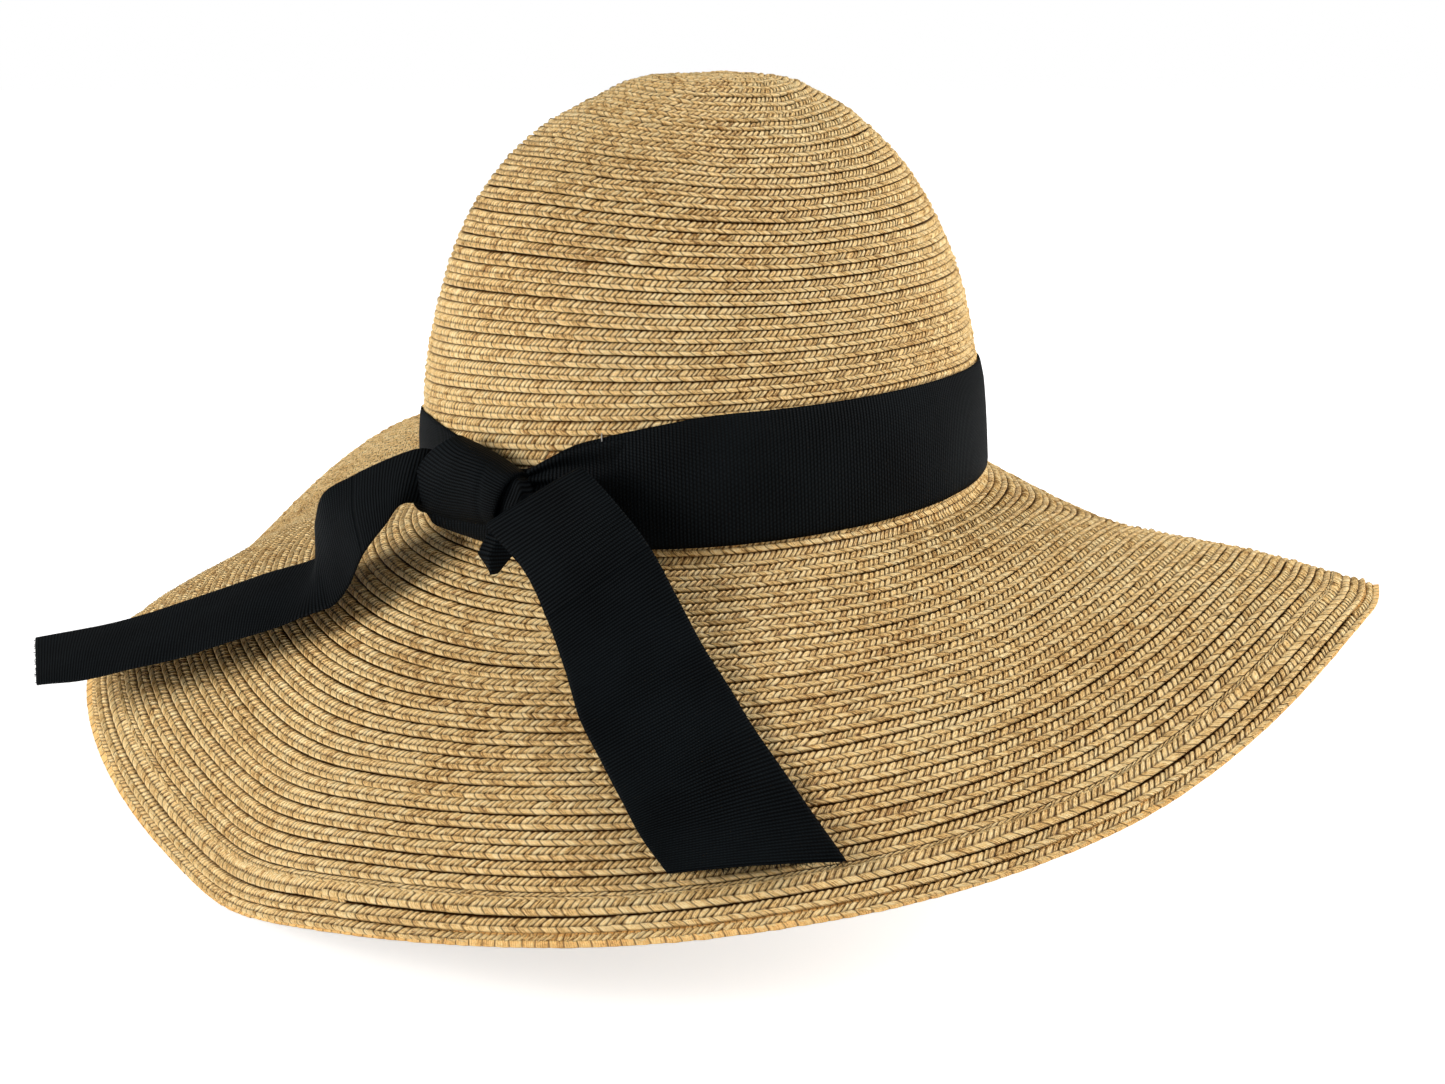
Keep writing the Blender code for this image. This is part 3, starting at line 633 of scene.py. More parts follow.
def grosgrain_material(name, base, top, bead_pitch=0.00080):
    """Ribbon ribbed straight across: lay holds (metres along, metres across, seed)."""
    material, nodes = new_material(name)
    along, across, seed = nodes.lay()
    wander = nodes.noise(along * 120.0, across * 90.0, seed) * 0.16
    hump = half_wave((along / RIB + wander).apply("FRACT"))
    rib_number = (along / RIB + wander).apply("FLOOR")
    bead = (across * (math.tau / bead_pitch) + rib_number * math.pi).apply("SINE")
    bead = bead * 0.5 + 0.5
    yarn = nodes.noise(along * 900.0, across * 3800.0, seed)
    cloud = nodes.noise(scale=45.0, detail=3.0, rough=0.6)
    # painted highlight and shade: the crowns of the ribs and their beads are lighter, the valleys
    # between the ribs near-black
    tone = hump ** 1.6 * (bead * 0.45 + yarn * 0.75)
    tone = tone.apply("ADD", (cloud - 0.5) * 0.5, clamp=True)
    nodes.principled({
        "Base Color": nodes.mix(tone, base, top),
        "Roughness": yarn * 0.2 + 0.45,
        "Specular IOR Level": 0.035,
        "Sheen Weight": 0.002,
        "Sheen Roughness": 0.45,
        "Sheen Tint": (0.55, 0.72, 0.85),
    })
    nodes.bump(hump + bead * 0.30, distance=0.00022, strength=0.85)
    return material


def twill_material(name, base, top, pitch=0.0009):
    """Tape woven in a diagonal twill: lay holds (metres along, metres across, seed)."""
    material, nodes = new_material(name)
    along, across, seed = nodes.lay()
    hump = half_wave(((along + across * 1.4) / pitch).apply("FRACT"))
    yarn = nodes.noise(along * 2600.0, across * 2600.0, seed)
    cloud = nodes.noise(scale=30.0, detail=3.0, rough=0.6)
    tone = hump * 0.5 + yarn * 0.3
    tone = tone.apply("ADD", (cloud - 0.5) * 0.8, clamp=True)
    nodes.principled({
        "Base Color": nodes.mix(tone, base, top),
        "Roughness": 0.9,
        "Specular IOR Level": 0.2,
        "Sheen Weight": 0.25,
    })
    nodes.bump(hump + yarn * 0.5, distance=0.00025, strength=0.8)
    return material


def cord_material(name, base, top, lay_length, strands, rough):
    """Twisted thread or cord: lay holds (metres along, share round, seed)."""
    material, nodes = new_material(name)
    along, share_round, _ = nodes.lay()
    hump = half_wave((along / lay_length + share_round * strands).apply("FRACT"))
    fuzz = nodes.noise(scale=3500.0)
    tone = (hump * 0.7).apply("ADD", fuzz * 0.4, clamp=True)
    nodes.principled({
        "Base Color": nodes.mix(tone, base, top),
        "Roughness": rough,
        "Specular IOR Level": 0.3,
        "Sheen Weight": 0.3,
    })
    nodes.bump(hump + fuzz * 0.3, distance=0.0002, strength=0.8)
    return material


def metal_material(name, colour, rough):
    material, nodes = new_material(name)
    scratch = nodes.noise(scale=900.0, detail=3.0)
    nodes.principled({
        "Base Color": nodes.mix(scratch, tuple(part * 0.85 for part in colour), colour),
        "Roughness": scratch * 0.2 + rough,
        "Metallic": 1.0,
    })
    nodes.bump(scratch, distance=0.00003, strength=0.5)
    return material


def satin_material(name, base, top):
    material, nodes = new_material(name)
    along, across, seed = nodes.lay()
    yarn = nodes.noise(along * 700.0, across * 6000.0, seed)
    nodes.principled({
        "Base Color": nodes.mix(yarn, base, top),
        "Roughness": 0.42,
        "Sheen Weight": 0.2,
    })
    nodes.bump(yarn, distance=0.0001, strength=0.5)
    return material


# The last colour of each straw is painted shade for its gaps and grooves.
STRAW = straw_material(
    "straw_braid_shown", light=(1.0, 0.80, 0.44), middle=(0.88, 0.580, 0.230),
    dark=(0.335, 0.158, 0.038), painted_shade_colour=(0.066, 0.024, 0.003))
STRAW_FACING = straw_material(
    "straw_facing_shown", light=(1.0, 0.70, 0.30), middle=(0.92, 0.53, 0.17),
    dark=(0.50, 0.25, 0.07), painted_shade_colour=(0.080, 0.030, 0.005))
# The ribbon is black; its lighter top colour is a painted highlight on the crowns of the ribs, its
# near-black base painted shade between them.
GROSGRAIN = grosgrain_material(
    "grosgrain_shown", base=(0.0001, 0.0001, 0.0002), top=(0.0078, 0.0108, 0.0130))
TAPE = twill_material("sweatband_twill_shown", base=(0.42, 0.32, 0.20), top=(0.66, 0.55, 0.39))
COTTON = cord_material("cotton_cord_shown", base=(0.50, 0.45, 0.35), top=(0.82, 0.77, 0.66),
                       lay_length=0.0022, strands=2.0, rough=0.85)
THREAD_WHITE = cord_material("white_thread_shown", base=(0.22, 0.215, 0.20),
                             top=(0.50, 0.49, 0.46), lay_length=0.0009, strands=1.0, rough=0.6)
THREAD_TAN = cord_material("tan_thread_shown", base=(0.40, 0.29, 0.15),
                           top=(0.72, 0.58, 0.36), lay_length=0.0009, strands=1.0, rough=0.6)
STEEL = metal_material("rim_wire_steel_shown", colour=(0.52, 0.52, 0.54), rough=0.28)
ALLOY = metal_material("sleeve_alloy_shown", colour=(0.70, 0.70, 0.72), rough=0.24)
SATIN = satin_material("tag_satin_shown", base=(0.70, 0.69, 0.65), top=(0.90, 0.89, 0.86))

# ---------------------------------------------------------------- straw braid
# Section of one row of braid. Columns: place across the row (0 at its upper edge, 1 at its lip),
# height off the hat's face (mm), slip of the strands along the row (loops), puff of the loops (mm).
SECTION = np.array([
    (-0.17, -0.80, 0.00, 0.00), (0.03, -0.66, 0.04, 0.06), (0.10, -0.22, 0.04, 0.30),
    (0.24, 0.14, -0.08, 0.36), (0.43, 0.16, -0.28, 0.30), (0.60, -0.16, -0.44, 0.10),
    (0.73, 0.24, -0.32, 0.16), (0.87, 0.42, -0.12, 0.18), (0.99, 0.10, 0.08, 0.12),
    (0.93, -0.85, 0.10, 0.04), (0.55, -1.22, -0.20, 0.08), (-0.06, -1.34, 0.00, 0.04)])
# The rim's row has a lower lip.
RIM_SECTION = SECTION.copy()
RIM_SECTION[3:10] = [
    (0.24, 0.12, -0.08, 0.34), (0.43, 0.14, -0.28, 0.28), (0.60, -0.10, -0.44, 0.10),
    (0.74, 0.20, -0.32, 0.16), (0.87, 0.22, -0.12, 0.18), (0.95, -0.14, 0.08, 0.12),
    (0.93, -0.85, 0.10, 0.06)]
# The row inside the rim stands up in a ridge.
RIDGE_SECTION = SECTION.copy()
RIDGE_SECTION[2:9, 1] += (0.1, 0.15, 0.1, 0.1, 0.45, 0.55, 0.30)
RIDGE_SECTION[6:8, 3] += 0.05

CROWN_PITCH = CROWN_RUN / CROWN_ROWS
CROWN_LOOP, BRIM_LOOP = 0.00345, 0.00378      # length of one loop of the braid
PER_LOOP = 4            # sections to a loop: two lobes with a notch between, then the crease
LOOP_PUFF = np.array([1.15, -0.95, 1.15, -1.45])    # puff at each section, along the loops
LIP_PUFF = np.array([0.35, 0.80, 0.35, -1.10])      # and along the rope of the lip
SINK = -0.25            # mm: how far the braid's mean face lies under the hat's face
SPIRAL_START = math.radians(70)
SPIRAL_TURNS = CROWN_ROWS + BRIM_ROWS - EDGE_ROWS
PRESSED = (0.1560, 0.1805, 0.0015)      # runs pressed flat under the ribbon: from, to, fade
# Lengths the spiral is cut into: name, turns from its start to the length's end.
SPIRAL_CUTS = [
    ("crown_rows_tip", 21.5), ("crown_rows_upper", 30), ("crown_rows_middle", 38),
    ("crown_rows_lower", 45), ("brim_rows_inner", 51), ("brim_rows_second", 56.5),
    ("brim_rows_third", 61), ("brim_rows_fourth", 65.5), ("brim_rows_outer", SPIRAL_TURNS)]

EDGE_RUN = HAT_RUN - EDGE_ROWS * ROW_PITCH
EDGE_TUCK = 0.0012                      # the edge braid starts this far under the spiral
SPLICE = math.radians(-123.0)           # where the edge braid's two ends meet
FACING_BASE, FACING_RISE = -0.0026, 0.0016
WIRE_RADIUS, SLEEVE_RADIUS = 0.0005, 0.00078
WIRE_RUN, WIRE_OFF = HAT_RUN - 0.0043, -0.0021


def spiral_upper_edge(turns):
    """Run of the spiral's upper edge, some turns from its start."""
    turns = np.asarray(turns, float)
    return np.where(turns < CROWN_ROWS, turns * CROWN_PITCH,
                    CROWN_RUN + (turns - CROWN_ROWS) * ROW_PITCH)


def spiral_width(turns, upper):
    return np.minimum(spiral_upper_edge(turns + 1) - upper,
                      spiral_upper_edge(SPIRAL_TURNS) - upper)


def lumps(run, angle):
    """The slow unevenness of hand-guided sewing and steaming, in mm."""
    return (0.20 * np.sin(5 * angle + 38 * run + 0.7) + 0.15 * np.sin(9 * angle - 61 * run + 2.1)
            + 0.12 * np.sin(14 * angle + 97 * run) + 0.10 * np.sin(3 * angle + 160 * run + 1.3))


def braid(upper, width, angle, loop, section, seed, row, phase, flip=1.0, base=0.0, sink=0.0):
    """Sections of braid and their lay; upper is the run of the upper edge, phase counts sections.

    flip turns the braid over, base lifts it in metres, sink lowers it in mm where negative.
    """
    count = len(angle)
    across, height, slip, puff = section.T
    middle = hat.at(upper + width / 2, angle, np.zeros(count))
    step = np.maximum(np.linalg.norm(np.gradient(middle, axis=0), axis=1), 1e-6)
    turn_per_metre = np.minimum(np.abs(np.gradient(np.unwrap(angle))) / step, 1 / 0.004)
    wander = (smooth_noise(count, 110, seed) * 0.00016
              + smooth_noise(count, 33, seed + 7) * 0.00007)
    loop_number = phase // PER_LOOP - phase[0] // PER_LOOP
    puff_vary, place_vary = (
        np.random.default_rng(seed + k).normal(0, 1, count // PER_LOOP + 2)[loop_number][:, None]
        for k in (5, 6))
    slipped = slip[None] * (1 + 0.15 * puff_vary) + 0.07 * place_vary
    angles = angle[:, None] + slipped * loop[:, None] * turn_per_metre[:, None]
    runs = (upper[:, None] + across[None] * width[:, None] + wander[:, None]
            + place_vary * 0.00006 * (puff / 0.2)[None])
    wave = np.where(across[None] < 0.62, LOOP_PUFF[phase % PER_LOOP][:, None],
                    LIP_PUFF[phase % PER_LOOP][:, None])
    section_vary = np.random.default_rng(seed + 9).normal(0, 1, count)[:, None]
    wave = wave * (1 + 0.22 * puff_vary + 0.18 * section_vary)
    lift = (height[None] + wave * puff[None] + smooth_noise(count, 90, seed + 1)[:, None] * 0.10
            + 0.05 * puff_vary + SINK)
    start, end, fade = PRESSED
    pressed = np.clip((upper - start) / fade, 0, 1) * np.clip((end - upper) / fade, 0, 1)
    pressed = pressed[:, None]
    lift = lift * (1 - 0.4 * pressed) - 0.45 * pressed
    lift = (lift + lumps(runs, angles) * (1 - 0.6 * pressed)
            + np.broadcast_to(sink, (count,))[:, None])
    thin = np.clip(width / 0.0035, 0.15, 1)[:, None]
    points = hat.at(runs, angles, (flip * lift * thin) / 1000 + base)
    return points, stack_lay((phase / PER_LOOP)[:, None], across[None], row[:, None])


def build_spiral():
    """The long spiral, from the tip down the crown and out over the brim, cut into lengths."""
    fine_turns = np.linspace(0.12, SPIRAL_TURNS - 0.1, 60000)
    fine_upper = spiral_upper_edge(fine_turns)
    fine_middle = fine_upper + spiral_width(fine_turns, fine_upper) / 2
    fine_points = hat.at(fine_middle, SPIRAL_START + 2 * math.pi * fine_turns, 0.0)
    fine_loop = np.where(fine_turns < CROWN_ROWS, CROWN_LOOP, BRIM_LOOP)
    loops = np.cumsum(np.diff(running_length(fine_points)) / fine_loop[1:])
    fine_phase = np.concatenate([[0], loops]) * PER_LOOP
    phase = np.arange(0, int(fine_phase[-1]) - 1)
    turns = np.interp(phase, fine_phase, fine_turns)
    upper = spiral_upper_edge(turns)
    points, lay = braid(
        upper, spiral_width(turns, upper), SPIRAL_START + 2 * math.pi * turns,
        np.interp(turns, fine_turns, fine_loop), SECTION, seed=11,
        row=np.floor(turns) * 7.31, phase=phase)
    pieces = {}
    start = 0
    for name, end in SPIRAL_CUTS:
        part = np.flatnonzero((turns >= start) & (turns < end))
        if end < SPIRAL_TURNS:
            part = np.append(part, part[-1] + 1)
        pieces[name] = new_mesh(name, points[part], tube_faces(len(part), len(SECTION)),
                                lay[part], STRAW)
        start = end
    return pieces


def even_ring(run, loop):
    """Angles and phases round the hat, so many that whole loops of braid fit the ring."""
    angles = np.linspace(0, 2 * math.pi, 2400)
    length = running_length(hat.at(run, angles, 0.0))
    count = int(round(length[-1] / loop)) * PER_LOOP
    return np.interp(np.arange(count) / count * length[-1], length, angles), np.arange(count)


def braid_ring(name, run, width, section, seed, row, material=STRAW, slot="straw_braid",
               flip=1.0, base=0.0, gap=None):
    """A ring of braid; gap is the angle where its two ends meet, or None for a closed ring."""
    angle, phase = even_ring(run + width / 2, BRIM_LOOP)
    upper, sink = np.full(len(angle), float(run)), 0.0
    if gap is not None:                       # the last stretch is tucked under the first
        extra = 12
        angle = np.concatenate([angle + gap, angle[:extra] + gap + 2 * math.pi])
        phase = np.arange(len(angle))
        last = np.clip(1 - (angle[-1] - angle) / 0.10, 0, 1)
        first = np.clip(1 - (angle - angle[0]) / 0.06, 0, 1)
        upper = run + last * last * 0.0006 - first * 0.0004
        sink = smoothstep(last) * -1.0 + first * first * 0.35
    count = len(angle)
    points, lay = braid(upper, np.full(count, width), angle, np.full(count, BRIM_LOOP), section,
                        seed, np.full(count, row), phase, flip, base, sink)
    faces = tube_faces(count, len(section), closed=gap is None, inside_out=flip < 0)
    return new_mesh(name, points, faces, lay, material)


def build_edge():
    """The three rows of the edge braid, and the facing row turned over under the rim."""
    facing_base = FACING_BASE + np.interp(RIM_SECTION[:, 0], [0.55, 0.86], [0.0, FACING_RISE])
    rings = [
        dict(name="edge_row_first", run=EDGE_RUN - EDGE_TUCK, width=ROW_PITCH + EDGE_TUCK,
             section=SECTION, seed=301, row=501.0, gap=SPLICE),
        dict(name="edge_row_ridge", run=EDGE_RUN + ROW_PITCH, width=ROW_PITCH,
             section=RIDGE_SECTION, seed=302, row=502.0),
        dict(name="edge_row_rim", run=EDGE_RUN + 2 * ROW_PITCH, width=ROW_PITCH - 0.0008,
             section=RIM_SECTION, seed=303, row=503.0),
        dict(name="edge_facing_row", run=HAT_RUN - 0.0068, width=0.0067, section=RIM_SECTION,
             seed=304, row=504.0, material=STRAW_FACING, slot="straw_facing", flip=-1.0,
             base=facing_base),
    ]
    return {ring["name"]: braid_ring(**ring) for ring in rings}


straw_pieces = build_spiral()
straw_pieces.update(build_edge())

# the wire between the rim and its facing, and the sleeve that joins its ends
rim_wire = round_tube("rim_wire_shown", hat.at(WIRE_RUN, ring_angles(360), WIRE_OFF),
                      WIRE_RADIUS, 8, True, STEEL)
sleeve_angles = math.radians(98) + np.linspace(0, 0.045, 12)
wire_sleeve = round_tube("wire_sleeve_shown", hat.at(WIRE_RUN, sleeve_angles, WIRE_OFF),
                         SLEEVE_RADIUS, 12, False, ALLOY)

# ---------------------------------------------------------------- ribbon band
BAND_STEPS, BAND_ROWS = 900, 26
BAND_ANGLES = ring_angles(BAND_STEPS)
# Near the knot the band's upper edge is drawn down: degrees, mm further down the crown.
DRAWN_DOWN = np.array([
    (-170, 0), (-160, 0.6), (-153, 2.2), (-146, 4.6), (-140, 7.0), (-133, 10.0), (-128, 12.8),
    (-124.5, 13.5), (-120.1, 11.5), (-116.6, 8.9), (-112.9, 6.9), (-107.5, 5.2), (-103.7, 4.1),
    (-100.8, 3.3), (-95, 1.8), (-89.9, 0.5), (-84, 0)])


def band_index(degrees):
    return int(round(degrees % 360 / 360 * BAND_STEPS)) % BAND_STEPS


def band_edges():
    """Runs of the band's upper and lower edges, and how strongly the knot pinches it."""
    low = BAND_LOW[0] + BAND_LOW[1] * np.cos(BAND_ANGLES) + BAND_LOW[2] * np.sin(BAND_ANGLES)
    lower = crown_runs_at(low, BAND_ANGLES, from_share=0.6, steps=260)
    degrees = (np.degrees(BAND_ANGLES) + 270) % 360 - 270
    drawn = np.interp(degrees, *DRAWN_DOWN.T) / 1000
    for _ in range(6):
        drawn = (np.roll(drawn, 1) + 2 * drawn + np.roll(drawn, -1)) / 4
    off_knot = BAND_ANGLES - math.radians(KNOT_ANGLE)
    off_knot = np.abs((off_knot + math.pi) % (2 * math.pi) - math.pi)
    pinch = np.exp(-(off_knot / math.radians(13)) ** 2)
    return lower - BAND_WIDTH + drawn, lower - 0.0035 * pinch, pinch


BAND_UPPER, BAND_LOWER, BAND_PINCH = band_edges()


def build_band():
    share = np.linspace(0, 1, BAND_ROWS)
    angles = BAND_ANGLES[:, None]
    runs = BAND_UPPER[:, None] * (1 - share) + BAND_LOWER[:, None] * share
    slack = (0.00035 * np.sin(7 * angles + 1.0) * (1 - share) ** 2
             + 0.0003 * np.sin(11 * angles) * share ** 3)
    folds = BAND_PINCH[:, None] * 0.0009 * np.sin(share * math.pi * 5)
    off = 0.0005 + 0.0005 * np.minimum(share / 0.25, 1) + 0.5 * np.abs(slack) + folds
    # its ends meet under the knot
    grid = np.roll(hat.at(runs, angles, off), -int(KNOT_ANGLE % 360 / 360 * BAND_STEPS), axis=0)
    along, across = cloth_lay(grid)
    length = along[-1, 0]
    whole_ribs = round((length + 0.0007) / RIB) * RIB
    middle = BAND_ROWS // 2
    join = np.linalg.norm(grid[0, middle] - grid[-1, middle])
    return cloth("hat_band_ribbon", grid, RIBBON_THICKNESS, GROSGRAIN, seed=1.0,
                 lay=(along * (whole_ribs / (length + join)), across), closed=True)


hat_band = build_band()

# ---------------------------------------------------------------- knot
KNOT = CrownSpot(KNOT_ANGLE, KNOT_HEIGHT)
KNOT_OUT = CLEAR + RIBBON + 0.0006 + KNOT_DEPTH / 2     # crown's face to the knot's middle
KNOT_POWER = 0.8                # how square the knot's sections are
# Corners (mm along the band to the right, mm up) seen from outside: upper left, upper right,
# lower right, lower left. The wrap is pulled askew.
WRAP_CORNERS = ((-10.0, 13.3), (15.0, 5.2), (8.0, -13.0), (-25.5, -13.0))
# The core's lower corners reach further down than the wrap's, so its black ribbon fills the dark
# place under the knot: partly the knot's real underside, partly painted shade.
CORE_CORNERS = ((-9.0, 12.5), (21.0, 4.5), (12.0, -22.0), (-22.5, -19.0))
# Rings of the wrap's rolled-in side edges: share drawn to the middle, share of the roll outwards.
WRAP_ROLL = ((0.34, 0.1), (0.17, 0.55), (0.06, 0.5))
ROLL_OUT = 0.0022


def signed_power(value, power):
    return np.sign(value) * np.abs(value) ** power


def knot_face(side, rise, corners):
    """Metres along and up for a place across and up the face, both -1 to 1."""
    right, top = (side + 1) / 2, (rise + 1) / 2
    upper_left, upper_right, lower_right, lower_left = corners
    along, up = (
        ((upper_left[i] * (1 - right) + upper_right[i] * right) * top
         + (lower_left[i] * (1 - right) + lower_right[i] * right) * (1 - top)) / 1000
        for i in (0, 1))
    bow = np.clip(-side, 0, 1) ** 2 * (1 - rise ** 2) * np.where(rise < 0, 1.0, 0.8)
    return along - 0.0062 * bow, up + 0.0010 * bow


def rolled_edge(ring, direction):
    middle = ring.mean(axis=0, keepdims=True)
    return [ring + (middle - ring) * draw + direction * (ROLL_OUT * out)
            for draw, out in WRAP_ROLL]


def build_knot_wrap():
    """A length of the ribbon wrapped round the band and the tails."""
    across_count, round_count = 40, 120
    side = np.linspace(-1, 1, across_count)[:, None]
    turn = (ring_angles(round_count) + math.pi)[None]      # it closes at the back
    cos, sin = np.cos(turn), np.sin(turn)
    half_depth = (KNOT_DEPTH / 2 + 0.0008) * (1 - 0.16 * np.abs(side) ** 3)
    out = signed_power(cos, KNOT_POWER) * half_depth
    rise = signed_power(sin, KNOT_POWER)
    front = np.clip(cos, 0, 1)
    crease = (0.0006 * np.exp(-((side - 0.62 + 0.25 * sin) / 0.08) ** 2)
              + 0.0004 * np.exp(-((side + 0.5 - 0.3 * sin) / 0.09) ** 2))
    out = out - front * crease + front * 0.0005 * np.sin(2.4 * side + 1.2 * sin)
    along, up = knot_face(side, rise * (1 + 0.02 * np.cos(3 * side)), WRAP_CORNERS)
    rings = KNOT.place(along, KNOT_OUT + out, up)
    verts = np.stack([*rolled_edge(rings[0], -KNOT.along), *rings,
                      *rolled_edge(rings[-1], KNOT.along)[::-1]])
    middle = rings[across_count // 2]
    lengths = running_length(middle)
    total = lengths[-1] + np.linalg.norm(middle[0] - middle[-1])
    lengths *= round(total / RIB) * RIB / total
    roll = np.array([0.001, 0.002, 0.003])
    across = np.concatenate([-roll[::-1], np.linspace(0, KNOT_WIDE, across_count),
                             KNOT_WIDE + roll])[:, None]
    lay = stack_lay(lengths[None] + 0.0008 * np.sin(across * 180), across, 5.0)
    faces = tube_faces(len(verts), round_count, inside_out=True)
    return new_mesh("knot_wrap_ribbon", verts, faces, lay, GROSGRAIN)


def build_knot_core():
    """The bunched ribbon inside the wrap."""
    across_count, round_count = 26, 60
    side = np.linspace(-1, 1, across_count)[:, None]
    turn = ring_angles(round_count)[None]
    cos, sin = np.cos(turn), np.sin(turn)
    reach = np.abs(side)
    taper = np.where(reach > 0.82, 0.84 - 0.28 * (reach - 0.82) / 0.18, 0.84)
    ripple = 1 + 0.05 * np.sin(6 * turn + 1.1) * (reach > 0.7)
    depth = KNOT_DEPTH / 2 * np.where(cos > 0, 0.60, 0.84)
    out = signed_power(cos, KNOT_POWER) * depth * ripple
    rise = signed_power(sin, KNOT_POWER) * taper * ripple
    along, up = knot_face(side * 1.04, rise, CORE_CORNERS)
    lay = stack_lay((side + 1) * KNOT_WIDE / 2, turn * 0.009, 6.0)
    faces = tube_faces(across_count, round_count, inside_out=True)
    return new_mesh("knot_core_ribbon", KNOT.place(along, KNOT_OUT + out, up), faces, lay,
                    GROSGRAIN)


def ribbon_grid(stations, rows, columns, belly, ruffle=0.0, seed=1):
    """Middle surface of a ribbon whose edges run through the stations (mm)."""
    path = even_path(stations, rows) / 1000
    one_edge, other_edge = path[:, :3], path[:, 3:]
    run = np.gradient((one_edge + other_edge) / 2, axis=0)
    normal = np.cross(run, other_edge - one_edge)
    normal /= np.linalg.norm(normal, axis=1, keepdims=True)
    share = np.linspace(0, 1, columns)[None, :, None]
    grid = one_edge[:, None] * (1 - share) + other_edge[:, None] * share
    grid = grid + normal[:, None] * belly * 4 * share * (1 - share)
    noise = smooth_noise_grid((rows, columns), (9, 2), seed)
    return grid + normal[:, None] * (noise * ruffle)[..., None]


# Band drawn together on the knot's right: degrees, shift of its upper edge down the crown, shift
# of its lower edge, height off the hat's face.
GATHER = (
    (-121, 0.0002, -0.0110, 0.0078), (-116, 0.0000, -0.0080, 0.0058),
    (-112, 0.0000, -0.0050, 0.0038), (-107, 0.0004, -0.0030, 0.0022),
    (-101, 0.0012, -0.0020, 0.0000))


def build_gather():
    rows, columns = 50, 30
    stations = []
    for degrees, upper, lower, off in GATHER:
        k = band_index(degrees)
        runs = (BAND_UPPER[k] + upper + 0.0006, BAND_LOWER[k] + lower)
        stations.append(np.concatenate([hat.at(run, BAND_ANGLES[k], off) * 1000 for run in runs]))
    grid = ribbon_grid(stations, rows, columns, belly=0.0004)
    pleats = (np.sin(np.linspace(0, 1, columns) * math.pi * 6.5)[None]
              * np.linspace(1, 0.12, rows)[:, None] ** 1.3 * 0.0008)
    normals = grid_normals(grid)
    from_axis = grid - grid.mean((0, 1)) * [0, 0, 1]
    outward = np.sign((normals * from_axis).sum(-1).mean())
    return cloth("band_gather_ribbon", grid + normals * pleats[..., None] * outward,
                 RIBBON_THICKNESS, GROSGRAIN, seed=2.0)


# Stations of ribbon lengths, in mm: x, y, z of one edge, then x, y, z of the other.
FOLD_TIP = np.array([
    (-61, -91, 6, -52, -95, 6), (-65, -95, 2, -55, -98, 1),
    (-67.5, -98, -2.8, -57, -99.5, -3), (-63.3, -99, -8.6, -61.3, -100, -8.2)])


def build_fold_tip():
    """The small pointed fold beside the knot."""
    stations = [start * (1 - share) + end * share
                for start, end in zip(FOLD_TIP, FOLD_TIP[1:]) for share in (0.0, 0.5, 0.93)]
    path = even_path([*stations, FOLD_TIP[-1]], 40) / 1000
    across = np.linspace(0, 1, 15)[None, :, None]
    grid = path[:, None, :3] * (1 - across) + path[:, None, 3:] * across
    swell = np.clip(1 - np.abs(across - 0.45) / 0.45, 0, 1)
    return cloth("knot_fold_tip_ribbon", grid + np.array([-0.0010, -0.0024, 0.0]) * swell,
                 0.0009, GROSGRAIN, seed=3.0)


knot_wrap = build_knot_wrap()
knot_core = build_knot_core()
band_gather = build_gather()
fold_tip = build_fold_tip()

# ---------------------------------------------------------------- ribbon tails
# Each tail is one length from the knot, over its fold, to its cut end.
RIGHT_TAIL = [
    (-60, -90, 0, -34, -95, 17), (-64, -94, 4.5, -37, -98, 22), (-64.5, -99, 5, -35, -102, 23),
    (-53, -108, -6, -25, -107, 13), (-46, -117, -18, -16, -112, 2),
    (-40, -132, -29, -8, -124, -10), (-35, -150, -38, 0, -137, -22),
    (-29, -163, -45, 7, -149, -30), (-23, -176, -52, 13, -161, -37),
    (-17, -188, -59, 25, -182, -49), (-10, -200, -64, 36, -203, -60)]
LEFT_TAIL = [
    (-78, -64, 21, -79, -66, 5), (-82.5, -66, 22.5, -85.5, -69.5, 6),
    (-89, -66, 23, -93, -73, 7), (-99, -62, 19, -98, -75, 1), (-111, -56, 13, -105, -76, -8),
    (-121, -51, 6.3, -110.5, -73.3, -19.5), (-124.3, -47, -3, -115, -72.6, -25.2),
    (-125, -44, -8, -119, -72, -27), (-125, -38, -17, -130, -70, -31),
    (-146, -32, -25, -146, -66, -37), (-171, -26, -35, -168, -60, -45),
    (-196, -19, -44, -193, -54, -53), (-228, -10, -52, -217, -46, -59)]
FRAY_RADIUS = 0.00013


def tail_pieces(name, grid, split_at, seed):
    """A tail in two lengths: from the knot to the split, and from the split to its cut end."""
    middle = grid[:, grid.shape[1] // 2]
    split = int(np.argmin(np.linalg.norm(middle - np.array(split_at) / 1000, axis=1)))
    along, across = cloth_lay(grid)
    parts = (("_start_ribbon", slice(0, split + 1)), ("_ribbon", slice(split, None)))
    return [cloth(name + suffix, grid[part], RIBBON_THICKNESS, GROSGRAIN, seed=seed,
                  lay=(along[part], across[part]))
            for suffix, part in parts]


